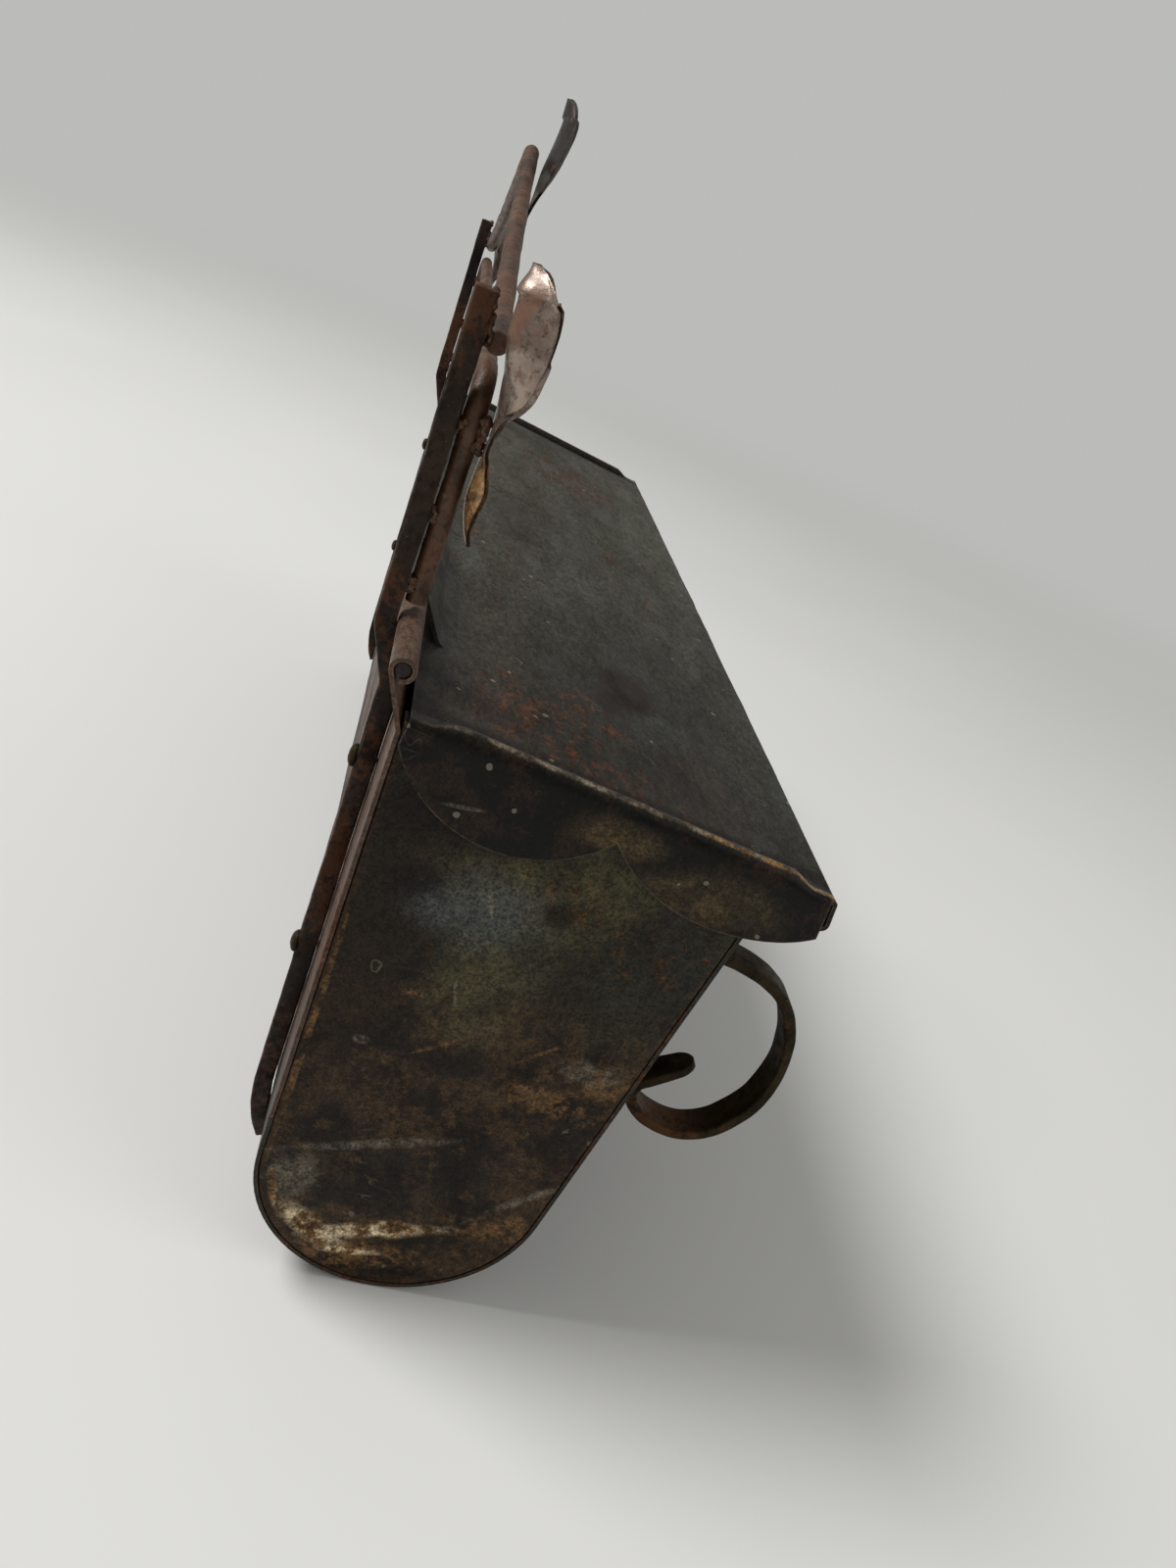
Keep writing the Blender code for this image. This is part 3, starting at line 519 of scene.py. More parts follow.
# Each group's inputs beside Vector; one without a default is a vector too
GROUP_INPUTS = {
    cloudy_tone: {"Scale": 20.0, "Low": 0.4, "High": 0.6},
    rust_bloom: {"Field Scale": 14.0, "Spot Scale": 260.0, "Cover": 0.5},
    paint_flecks: {"Scale": 90.0, "Share": 0.05, "Size": 0.22, "Bend": 0.006},
    hair_scratches: {"Scale": 30.0, "Amount": 0.5},
    edge_wear: {"Width": 0.0012, "Reach": 0.5},
    stain_patch: {"Place": None, "Size": None, "Turn": None, "Ragged": 0.5, "Soft": 0.5},
    hammer_marks: {"Scale": 160.0},
}


def make_groups():
    """Builds each node group once, with named inputs and outputs."""
    for build, inputs in GROUP_INPUTS.items():
        tree = bpy.data.node_groups.new(build.__name__, "ShaderNodeTree")
        for label, default in {"Vector": None, **inputs}.items():
            kind = "NodeSocketVector" if default is None else "NodeSocketFloat"
            socket = tree.interface.new_socket(name=label, in_out="INPUT", socket_type=kind)
            if default is not None:
                socket.default_value = default
        graph = Graph(tree)
        outputs = build(graph, graph.node("NodeGroupInput").outputs)
        for label in outputs:
            tree.interface.new_socket(name=label, in_out="OUTPUT", socket_type="NodeSocketFloat")
        graph.node("NodeGroupOutput", outputs)
        GROUPS[build.__name__] = tree


# Materials


FINISHES = {}
SKIRT_FACE = 0.2045
MARK_DEPTH = 0.05


def open_material(name):
    material = bpy.data.materials.new(name)
    material.use_nodes = True
    graph = Graph(material.node_tree)
    return material, graph, material.node_tree.nodes["Principled BSDF"], \
        graph.node("ShaderNodeTexCoord").outputs["Object"]


def close_material(g, shader, tone, rough, metal, height, depth, strength, shine):
    shader.inputs["Specular IOR Level"].default_value = shine
    bump = g.node("ShaderNodeBump", {"Strength": strength, "Distance": depth, "Height": height}).outputs[0]
    for label, value in (("Base Color", tone), ("Roughness", rough), ("Metallic", metal), ("Normal", bump)):
        g.feed(shader.inputs[label], value)


def shade(tone, *factors):
    """A colour times one factor, or times one for each channel."""
    return [c * f for c, f in zip(tone, factors if len(factors) == 3 else factors * 3)]


def spot(g, place, where, size, ragged, softness, turn=0.0):
    return g.group("stain_patch", place, Place=where, Size=size, Turn=(turn, 0.0, 0.0), Ragged=ragged,
                   Soft=softness)["Mask"]


def stroke(g, place, x, start, end, width, ragged, softness):
    """Streak from one (y, z) to another on a side that faces along X."""
    run = Vector(end) - Vector(start)
    middle = (Vector(start) + Vector(end)) / 2
    return spot(g, place, (x, middle.x, middle.y), (MARK_DEPTH, run.length / 2, width / 2), ragged, softness,
                atan2(run.y, run.x))


def all_of(g, masks):
    """Union of masks."""
    total = masks[0]
    for mask in masks[1:]:
        total = g.math("MAXIMUM", total, mask)
    return total


def top_marks(g, place, rows):
    """Spots on the lid: place, half sizes along X and Y, raggedness and softness."""
    return all_of(g, [spot(g, place, row[:3], (*row[3:5], 0.03), *row[5:]) for row in rows])


def face_marks(g, place, left, right=()):
    """Marks on the end plates: spots by (y, z) and half sizes, or strokes by two ends and a width."""
    masks = []
    for x, rows in ((-LID_HALF, left), (LID_HALF, right)):
        for row in rows:
            if len(row) == 6:
                masks.append(spot(g, place, (x, *row[:2]), (MARK_DEPTH, *row[2:4]), *row[4:]))
            else:
                masks.append(stroke(g, place, x, row[:2], row[2:4], *row[4:]))
    return all_of(g, masks)


def painted_sheet(name, finish, paint, marks, rust_cover, fleck_share, gloss, shine, stretch=1.0, grime=0.6):
    """Worn paint over rusty sheet: marks is a function that lays the photographed stains on it, and on the lid also
    painted highlight and painted shade.
    """
    material, g, shader, place = open_material(name)
    laid = g.node("ShaderNodeMapping", {"Vector": place, "Scale": (stretch, 1.0, 1.0)}).outputs[0]
    cloud = g.group("cloudy_tone", laid, Scale=17.0, Low=0.36, High=0.64)["Mask"]
    fine = g.group("cloudy_tone", laid, Scale=95.0, Low=0.34, High=0.68)["Mask"]
    mottle = g.ramp(g.noise(laid, 48.0, 10.0, 0.72), 0.44, 0.58)
    grit = g.plus(g.times(g.noise(laid, 620.0, 6.0, 0.7), 0.5), g.times(g.noise(place, 1500.0, 3.0, 0.6), 0.5))
    tone = g.mix(cloud, shade(paint, 0.74), shade(paint, 1.24))
    tone = g.lay(tone, mottle, grime, shade(paint, 0.50, 0.42, 0.36))
    tone = g.lay(tone, fine, 0.35, shade(paint, 0.66, 0.60, 0.52))
    rough = g.ramp(fine, 0.0, 1.0, gloss - 0.05, gloss + 0.13)
    rust = g.group("rust_bloom", laid, Field_Scale=16.0, Spot_Scale=260.0, Cover=rust_cover)
    rusty = g.mix(g.ramp(rust["Grain"], 0.35, 0.65), finish.old_rust, finish.rust)
    tone = g.lay(tone, rust["Mask"], 0.6, rusty)
    rough = g.plus(rough, g.times(rust["Mask"], 0.22))
    height = g.times(rust["Height"], 0.8)
    if marks:
        tone, rough, height = marks(g, place, finish, tone, rough, height)
    tone = g.mix(g.ramp(grit, 0.50, 0.57, 0.0, 0.70), tone, (0.28, 0.24, 0.21), "MULTIPLY")
    tone = g.mix(g.ramp(grit, 0.48, 0.41, 0.0, 0.60), tone, (2.1, 1.9, 1.6), "MULTIPLY")
    pits = g.ramp(g.noise(place, 700.0, 3.0, 0.6), 0.62, 0.75)
    tone = g.lay(tone, pits, 0.6, finish.dark)
    scratch = g.group("hair_scratches", place, Scale=26.0, Amount=0.7)["Mask"]
    tone = g.lay(tone, scratch, 0.35, shade(finish.flecks, 0.45))
    edge = g.edges(place, 0.0008, finish.wear)
    tone = g.lay(tone, edge, 0.50, g.mix(fine, finish.old_rust, finish.bare))
    fleck = g.group("paint_flecks", place, Scale=95.0, Share=fleck_share, Size=0.10, Bend=0.004)
    tone = g.lay(tone, fleck["Mask"], 0.4, shade(finish.flecks, 0.7))
    for scale, bend, kind, amount, pale in ((140.0, 0.0015, "Ring", 0.45, 0.5), (300.0, 0.001, "Mask", 0.6, 0.6)):
        drops = g.group("paint_flecks", place, Scale=scale, Share=fleck_share * 3.0, Size=0.20, Bend=bend)
        tone = g.lay(tone, drops[kind], amount, shade(finish.flecks, pale))
    height = g.plus(height, g.times(fleck["Mask"], 0.6))
    height = g.minus(g.plus(height, g.times(grit, 0.25)), g.times(pits, 0.5))
    close_material(g, shader, tone, rough, g.times(edge, 0.4), height, 0.0003, 0.6, shine)
    return material


def lid_marks(g, place, finish, tone, rough, height):
    """Rust fields near the left end, dark stains and brown skirts, with painted highlight and painted shade on the end
    ridges, and a light line along the skirts' edges that is partly a rubbed burr and partly painted highlight.
    """
    split = g.node("ShaderNodeSeparateXYZ", {0: place}).outputs
    out = g.math("ABSOLUTE", split["X"])
    dim = g.mix(1.0, tone, (0.62, 0.63, 0.64), "MULTIPLY")
    pale = g.mix(1.0, tone, (1.52, 1.52, 1.50), "MULTIPLY")
    tone = g.mix(g.ramp(split["X"], -0.185, 0.060), dim, pale)
    tone = g.lay(tone, top_marks(g, place, (
        (-0.186, -0.026, -0.042, 0.022, 0.012, 0.45, 0.6), (-0.150, -0.030, -0.042, 0.050, 0.009, 0.5, 0.6),
        (0.060, -0.040, -0.044, 0.110, 0.012, 0.5, 0.6), (-0.175, -0.085, -0.048, 0.020, 0.012, 0.5, 0.6),
    )), 0.50, (0.034, 0.022, 0.017))
    rust_field = top_marks(g, place, (
        (-0.183, -0.048, -0.044, 0.016, 0.020, 0.45, 0.5), (-0.162, -0.054, -0.044, 0.013, 0.012, 0.5, 0.5),
        (-0.172, -0.036, -0.042, 0.014, 0.008, 0.5, 0.5), (-0.196, -0.056, -0.045, 0.006, 0.034, 0.5, 0.5),
        (0.120, -0.070, -0.046, 0.030, 0.020, 0.6, 0.5),
    ))
    rusty = g.times(rust_field, g.ramp(g.noise(place, 250.0, 9.0, 0.75), 0.49, 0.56))
    tone = g.lay(tone, rusty, 0.85, g.mix(g.noise(place, 900.0), finish.old_rust, finish.rust))
    tone = g.lay(tone, top_marks(g, place, (
        (-0.128, -0.071, -0.047, 0.016, 0.007, 0.30, 0.5), (-0.142, -0.064, -0.047, 0.010, 0.004, 0.35, 0.5),
    )), 0.9, (0.013, 0.005, 0.004))
    # Skirts
    side = g.ramp(out, LID_HALF - 0.0012, LID_HALF - 0.0004)
    brown = g.ramp(g.noise(place, 90.0, 9.0, 0.72), 0.47, 0.60)
    skirt = g.mix(brown, (0.0026, 0.003, 0.0026), (0.017, 0.010, 0.006))
    olive = all_of(g, [spot(g, place, (x, y, z), (0.02, wide, tall), ragged, 0.5) for x, y, z, wide, tall, ragged in (
        (-SKIRT_FACE, -0.088, -0.060, 0.016, 0.006, 0.6), (-SKIRT_FACE, -0.062, -0.052, 0.010, 0.004, 0.6),
        (SKIRT_FACE, -0.040, -0.055, 0.017, 0.006, 0.5),
    )])
    patchy = g.ramp(g.noise(place, 150.0, 9.0, 0.72), 0.40, 0.60)
    skirt = g.lay(skirt, olive, g.ramp(patchy, 0.0, 1.0, 0.35, 0.95), (0.125, 0.088, 0.038))
    drip = stroke(g, place, -SKIRT_FACE, (-0.0240, -0.0552), (-0.0330, -0.0543), 0.0011, 0.12, 0.3)
    tone = g.mix(side, tone, g.lay(skirt, drip, 0.6, (0.20, 0.19, 0.15)))
    # End ridges: a dark bead with painted shade along its flanks, a painted highlight along its crest that turns
    # golden-rust in front, and painted shade in the crease beside it
    ridge = g.near(out, 0.2012, 0.0040, 0.0014)
    tone = g.lay(tone, ridge, 0.85, g.mix(brown, (0.006, 0.005, 0.004), (0.026, 0.013, 0.007)))
    rough = g.minus(rough, g.times(ridge, 0.22))
    # Painted highlight: a light line along each ridge's crest, broken up by noise
    crest = g.times(g.near(out, 0.2017, 0.0013, 0.0004), g.ramp(split["Y"], -0.018, -0.050, 0.25, 1.0))
    highlight_breaks = g.ramp(g.noise(place, 120.0, 6.0, 0.7), 0.44, 0.58, 0.15, 0.95)
    tone = g.lay(tone, crest, highlight_breaks, (0.21, 0.175, 0.125))
    front = g.ramp(split["Y"], -0.060, -0.108)
    # Painted highlight, tinted golden-rust towards the front
    golden_highlight = g.times(crest, g.times(front, g.ramp(g.noise(place, 200.0, 5.0, 0.7), 0.42, 0.60)))
    tone = g.lay(tone, golden_highlight, 0.9, (0.30, 0.15, 0.035))
    # Painted shade: a dark band in the crease inside each ridge
    tone = g.lay(tone, g.near(out, 0.1960, 0.0058, 0.0015), 0.8, (0.009, 0.006, 0.005))
    lip = g.ramp(split["Y"], -0.1150, -0.1162)
    tone = g.mix(lip, tone, g.mix(brown, (0.010, 0.004, 0.004), (0.030, 0.012, 0.009)))
    # Light line along the skirts' edges: partly a rubbed burr, partly a painted highlight
    burr_and_highlight = g.times(g.edges(place, 0.0005, 1.0), side)
    burr_and_highlight = g.times(burr_and_highlight, g.ramp(g.noise(place, 260.0, 5.0, 0.7), 0.40, 0.56))
    tone = g.lay(tone, burr_and_highlight, 0.9, (0.19, 0.15, 0.10))
    return tone, rough, g.plus(height, g.times(rusty, 0.5))


def plate_marks(g, place, finish, tone, rough, height):
    """Blue-grey bloom, olive clouds, brown lower half, a cream band, streaks and thin scratches."""
    up = g.node("ShaderNodeSeparateXYZ", {0: place}).outputs["Z"]
    brown = g.mix(g.ramp(g.noise(place, 60.0, 10.0, 0.72), 0.42, 0.60), (0.011, 0.007, 0.005), (0.050, 0.031, 0.016))
    brown = g.mix(g.ramp(g.noise(place, 170.0, 9.0, 0.75), 0.52, 0.62, 0.0, 0.55), brown, (0.090, 0.052, 0.022))
    tone = g.mix(g.ramp(g.plus(up, g.times(g.noise(place, 30.0, 8.0, 0.7), 0.06)), -0.058, -0.084), tone, brown)
    rear = face_marks(g, place, ((-0.017, -0.085, 0.016, 0.045, 0.6, 0.5),))
    tone = g.lay(tone, rear, 0.7, g.mix(g.noise(place, 240.0, 8.0, 0.7), (0.003, 0.003, 0.002), (0.030, 0.015, 0.008)))
    olive = face_marks(g, place, (
        (-0.053, -0.070, 0.020, 0.016, 0.5, 0.6), (-0.046, -0.098, 0.011, 0.016, 0.5, 0.6),
    ), ((-0.050, -0.110, 0.020, 0.022, 0.5, 0.6),))
    patchy = g.ramp(g.noise(place, 120.0, 9.0, 0.72), 0.38, 0.60, 0.25, 0.8)
    tone = g.lay(tone, olive, patchy, (0.088, 0.076, 0.037))
    bloom = face_marks(g, place, (
        (-0.043, -0.079, 0.0105, 0.0085, 0.35, 0.85), (-0.033, -0.081, 0.0075, 0.005, 0.35, 0.85),
    ), ((-0.060, -0.090, 0.012, 0.010, 0.40, 0.85),))
    tone = g.lay(tone, bloom, 0.60, (0.098, 0.112, 0.112))
    rough = g.plus(rough, g.times(bloom, 0.12))
    tone = g.lay(tone, face_marks(g, place, (
        (-0.0570, -0.0755, 0.0038, 0.0034, 0.35, 0.5), (-0.030, -0.060, 0.026, 0.005, 0.45, 0.6),
        (-0.0230, -0.0760, 0.0060, 0.0040, 0.45, 0.6), (-0.0480, -0.1230, 0.0070, 0.0040, 0.60, 0.5),
        (-0.0330, -0.1700, 0.0170, 0.0050, 0.60, 0.5), (-0.0500, -0.1930, 0.0160, 0.0040, 0.60, 0.5),
    )), 0.8, (0.010, 0.007, 0.005))
    ochre = face_marks(g, place, (
        (-0.086, -0.118, 0.009, 0.006, 0.75, 0.3), (-0.073, -0.127, 0.011, 0.005, 0.8, 0.3),
        (-0.075, -0.172, 0.012, 0.005, 0.8, 0.3), (-0.040, -0.190, 0.020, 0.005, 0.8, 0.3),
        (-0.0128, -0.0900, -0.0128, -0.1620, 0.0016, 0.8, 0.3), (-0.0290, -0.1055, -0.0390, -0.1035, 0.0024, 0.7, 0.3),
        (-0.0370, -0.1220, -0.0510, -0.1120, 0.0012, 0.45, 0.3),
        (-0.0620, -0.1175, -0.0720, -0.1085, 0.0010, 0.45, 0.3),
    ), ((-0.060, -0.150, 0.020, 0.006, 0.8, 0.3),))
    speckle = g.ramp(g.noise(place, 230.0, 9.0, 0.75), 0.44, 0.56)
    tone = g.lay(tone, g.times(ochre, speckle), 0.85, (0.150, 0.082, 0.032))
    grey = face_marks(g, place, (
        (-0.079, -0.116, 0.0070, 0.0040, 0.6, 0.4), (-0.0205, -0.1670, 0.0050, 0.0080, 0.7, 0.6),
        (-0.0248, -0.1215, 0.0018, 0.0013, 0.30, 0.3), (-0.0140, -0.1600, -0.0500, -0.1475, 0.0026, 0.85, 0.6),
        (-0.0700, -0.1665, -0.0850, -0.1540, 0.0024, 0.80, 0.6),
        (-0.0400, -0.0720, -0.0430, -0.0800, 0.0011, 0.10, 0.4),
        (-0.0405, -0.0980, -0.0422, -0.1050, 0.0009, 0.08, 0.4),
    ))
    grainy = g.ramp(g.noise(place, 260.0, 8.0, 0.75), 0.40, 0.56, 0.15, 0.75)
    tone = g.lay(tone, grey, grainy, (0.16, 0.14, 0.108))
    band = face_marks(g, place, (
        (-0.0150, -0.1680, -0.0185, -0.1800, 0.0022, 0.8, 0.4), (-0.0180, -0.1775, -0.0370, -0.1880, 0.0080, 0.6, 0.4),
        (-0.0250, -0.1865, -0.0600, -0.1760, 0.0050, 0.9, 0.4), (-0.0330, -0.1900, -0.0480, -0.1885, 0.0030, 0.9, 0.4),
    ), ((-0.0250, -0.1840, -0.0550, -0.1790, 0.0040, 0.60, 0.40),))
    broken = g.noise(place, 150.0, 9.0, 0.75)
    band = g.times(band, g.ramp(broken, 0.34, 0.46))
    tone = g.lay(tone, band, 0.9, g.mix(g.ramp(broken, 0.44, 0.56), (0.17, 0.090, 0.030), (0.74, 0.62, 0.42)))
    tone = g.lay(tone, g.edges(place, 0.0020, 0.8), 0.6, (0.17, 0.068, 0.020))
    return tone, rough, g.plus(height, g.times(band, 0.7))


def rusty_bar(name, finish, dark, light, spot_scale, metal, hammer=170.0, depth=0.0003, rust_cover=0.40, gloss=0.46,
              sheen=0.5):
    """Rust-skinned forged stock with hammer marks and rubbed edges."""
    material, g, shader, place = open_material(name)
    cloud = g.group("cloudy_tone", place, Scale=spot_scale, Low=0.36, High=0.64)["Mask"]
    fine = g.noise(place, spot_scale * 9.0, 6.0, 0.7)
    tone = g.mix(g.ramp(fine, 0.48, 0.66, 0.0, 0.7), g.mix(cloud, dark, light), shade(dark, 0.45))
    rust = g.group("rust_bloom", place, Field_Scale=spot_scale * 0.7, Spot_Scale=520.0, Cover=rust_cover)
    tone = g.lay(tone, rust["Mask"], 0.55, shade(finish.rust, 0.75))
    tone = g.lay(tone, g.ramp(g.noise(place, 1500.0, 3.0, 0.7), 0.66, 0.74), 0.45, finish.bare)
    edge = g.edges(place, 0.0008, 0.5)
    tone = g.lay(tone, edge, 0.5, finish.bare)
    height = g.plus(g.group("hammer_marks", place, Scale=hammer)["Height"], g.times(rust["Height"], 0.4))
    close_material(g, shader, tone, g.ramp(fine, 0.3, 0.7, gloss, gloss + 0.26), g.plus(metal, g.times(edge, 0.4)),
                   height, depth, 0.7, sheen)
    return material


def leaf_finish(name, dark, light, stem_tone, metal):
    """Thin bare sheet with a grey-brown skin, lighter in random patches that are partly rubbed steel and partly
    painted highlight, rusty in spots, ochre at the small lobe.
    """
    material, g, shader, place = open_material(name)
    cloud = g.group("cloudy_tone", place, Scale=48.0, Low=0.36, High=0.60)["Mask"]
    fine = g.noise(place, 520.0, 9.0, 0.75)
    # The light tone in the cloud patches stands partly for painted highlight
    tone = g.mix(g.ramp(fine, 0.50, 0.60, 0.0, 0.75), g.mix(cloud, dark, light), (0.34, 0.29, 0.26), "MULTIPLY")
    rust = g.group("rust_bloom", place, Field_Scale=60.0, Spot_Scale=330.0, Cover=0.42)
    tone = g.lay(tone, rust["Mask"], 0.65, (0.17, 0.070, 0.035))
    stem = all_of(g, [spot(g, place, (x, -0.013, z), (0.014, 0.012, 0.011), 0.35, 0.4)
                      for x, z in ((-POST_X, -0.001), (POST_X, -0.001), (0.0, 0.039))])
    tone = g.lay(tone, stem, 0.8, g.mix(g.ramp(fine, 0.42, 0.56), stem_tone, shade(stem_tone, 0.35)))
    edge = g.edges(place, 0.0005, 0.75)
    tone = g.lay(tone, edge, 0.8, (0.022, 0.012, 0.012))
    rough = g.ramp(g.plus(cloud, g.times(fine, 0.6)), 0.2, 1.2, 0.50, 0.27)
    shiny = g.times(g.ramp(rust["Mask"], 0.0, 1.0, metal, 0.1), g.minus(1.0, edge))
    height = g.plus(g.times(fine, 0.5), g.noise(place, 130.0, 3.0))
    close_material(g, shader, tone, rough, shiny, height, 0.00030, 0.5, 0.5)
    return material


def make_finishes():
    make_groups()
    finish = bpy.context.scene.mailbox_finish
    plate = finish.plate_paint
    FINISHES.update(
        lid=painted_sheet("lid_paint", finish, finish.lid_paint, lid_marks, 0.32, 0.016, 0.48, 0.16, 0.45, 0.45),
        plate=painted_sheet("plate_paint", finish, plate, plate_marks, 0.34, 0.04, 0.46, 0.14),
        pocket=painted_sheet("pocket_paint", finish, shade(plate, 1.2), None, 0.48, 0.03, 0.50, 0.16, 0.6),
        back=painted_sheet("back_paint", finish, (0.092, 0.053, 0.036), None, 0.48, 0.01, 0.50, 0.3, 0.5),
        post=rusty_bar("post_rust", finish, (0.008, 0.005, 0.0035), (0.032, 0.017, 0.009), 45.0, 0.1,
                       rust_cover=0.44, sheen=0.25),
        rod=rusty_bar("rod_rust", finish, (0.026, 0.012, 0.006), (0.150, 0.072, 0.036), 60.0, 0.2, 260.0, 0.00022,
                      0.42, 0.36),
        hook=rusty_bar("hook_rust", finish, (0.009, 0.0055, 0.0018), (0.042, 0.027, 0.008), 40.0, 0.1, 120.0,
                       gloss=0.42, sheen=0.12),
        pin=rusty_bar("pin_rust", finish, (0.006, 0.0035, 0.0035), (0.026, 0.011, 0.009), 120.0, 0.3),
        # Side leaves: their light tone is raised partly as painted highlight
        leaf=leaf_finish("leaf_steel_skin", (0.085, 0.052, 0.038), (0.34, 0.265, 0.215), (0.52, 0.28, 0.105), 0.60),
        crest_leaf=leaf_finish("crest_leaf_skin", (0.024, 0.022, 0.019), (0.060, 0.055, 0.049),
                               (0.070, 0.040, 0.022), 0.30),
        rim=rusty_bar("leaf_rim_rust", finish, (0.010, 0.005, 0.005), (0.040, 0.020, 0.016), 120.0, 0.1,
                      rust_cover=0.44, sheen=0.3),
    )


# Sheet pieces


SKIRT_BACK = 0.0060
SKIRT_CUSP = 0.0075
SKIRT_FRONT = 0.0095
SCALLOP_SPLIT = 0.495
SCALLOP_SAGS = (0.0138, 0.0098)
LIP_HEIGHT = 0.0075
LIP_FLARE = 0.0014
LIP_CURL = 0.0013
EDGE_ROUND = 0.0016
LID_END = LID_DEPTH - SHEET / 2
ROLL_SWEEP = radians(296)
VALLEY_DEPTH = 0.00045
VALLEY_SHARES = ((0.1982, 1.0), (0.1974, 0.8), (0.1965, 0.4), (0.1955, 0.0))
TOP_HALF = 0.1925
LIP_HALF = 0.2037
PLATE_CORNER = 0.0007
PLATE_HUB = (0.052, -0.118)
PLATE_SHARES = (0.965, 0.93, 0.89, 0.84, 0.78, 0.71, 0.63, 0.54, 0.44, 0.33, 0.21, 0.10)
FLANGE_DEPTHS = (0.0055, 0.0035)
LIP_WAVE = 0.00045
SKIRT_WAVE = 0.00035
BACK_WAVE = 0.00018
FLAT_HALF = 0.1970
CURL_SWEEP = radians(215)
CURL_STEP = radians(12)
END_KNUCKLE = 0.0450
KNUCKLE_GAP = 0.0008
HINGE_JOGGLE = 0.0130
RISER_FOOT = 0.0045
RISER_ROUND = 0.0040
BACK_SEAM_RISE = 0.0120


def scallop_drop(along):
    """How far the skirt hangs below the lid's top face at a distance from the back edge."""
    split = LID_END * SCALLOP_SPLIT
    if along <= split:
        start, end, low, high, sag = 0.0, split, SKIRT_BACK, SKIRT_CUSP, SCALLOP_SAGS[0]
    else:
        start, end, low, high, sag = split, LID_END, SKIRT_CUSP, SKIRT_FRONT, SCALLOP_SAGS[1]
    chord = end - start
    radius = (chord * chord / 4 + sag * sag) / (2 * sag)
    middle = (start + end) / 2
    curve = sqrt(max(radius ** 2 - (along - middle) ** 2, 0.0)) - (radius - sag)
    return low + (high - low) * (along - start) / chord + max(curve, 0.0)


def lid_rows():
    """Distances from the back edge at which the lid is cut, with one on the cusp of the scallops."""
    split = LID_END * SCALLOP_SPLIT
    fine = [0.0, 0.0005, 0.0012, 0.0022, 0.0034, 0.0048, 0.0064]
    back = fine + stations(0.0085, split - 0.004, 0.0026)
    near = [split + step for step in (-0.0028, -0.0018, -0.0009, 0.0, 0.0009, 0.0018, 0.0028)]
    front = stations(split + 0.004, LID_DEPTH - 0.012, 0.0026)
    last = LID_DEPTH - EDGE_ROUND
    return back + near + front + [last - step for step in (0.0080, 0.0064, 0.0048, 0.0034, 0.0020, 0.0009, 0.0)]


def ridge_size(along):
    """Share of the end ridge's full height, with round ends."""
    back = soft(0.0040, 0.0105, along)
    front = 1 - soft(LID_DEPTH - 0.0125, LID_DEPTH - 0.0060, along)
    return back * front


def lid_dent(x, along, depth):
    """Soft waves of the thin top, quiet along its edges."""
    calm = soft(0.0, 0.020, along) * soft(0.0, 0.018, LID_DEPTH - along) * soft(0.0, 0.02, FLAT_HALF - abs(x))
    wide = wobble((x, along, 0.0), 16.0, 3.1) + 0.6 * wobble((x, along, 0.1), 38.0, 7.7)
    small = 0.22 * wobble((x, along, 0.2), 110.0, 1.3)
    return depth * calm * (wide + small)


def lid_section(along, sizes):
    """Half of the lid's outline from the foot of a skirt to the middle: (x, drop below the top face)."""
    foot = scallop_drop(along)
    rows = [(LID_HALF, foot + (EDGE_ROUND - foot) * i / 7) for i in range(8)]
    height = sizes.ridge_height * ridge_size(along)
    half = sizes.ridge_width / 2
    middle = LID_HALF - half
    for i in range(1, 13):
        angle = pi * i / 12
        x = middle + half * cos(angle)
        corner = max(x - (LID_HALF - EDGE_ROUND), 0.0)
        plain = EDGE_ROUND - sqrt(max(EDGE_ROUND ** 2 - corner ** 2, 0.0))
        rows.append((x, plain - height * sin(angle)))
    valley = VALLEY_DEPTH * ridge_size(along)
    return rows + [(x, valley * depth) for x, depth in VALLEY_SHARES]


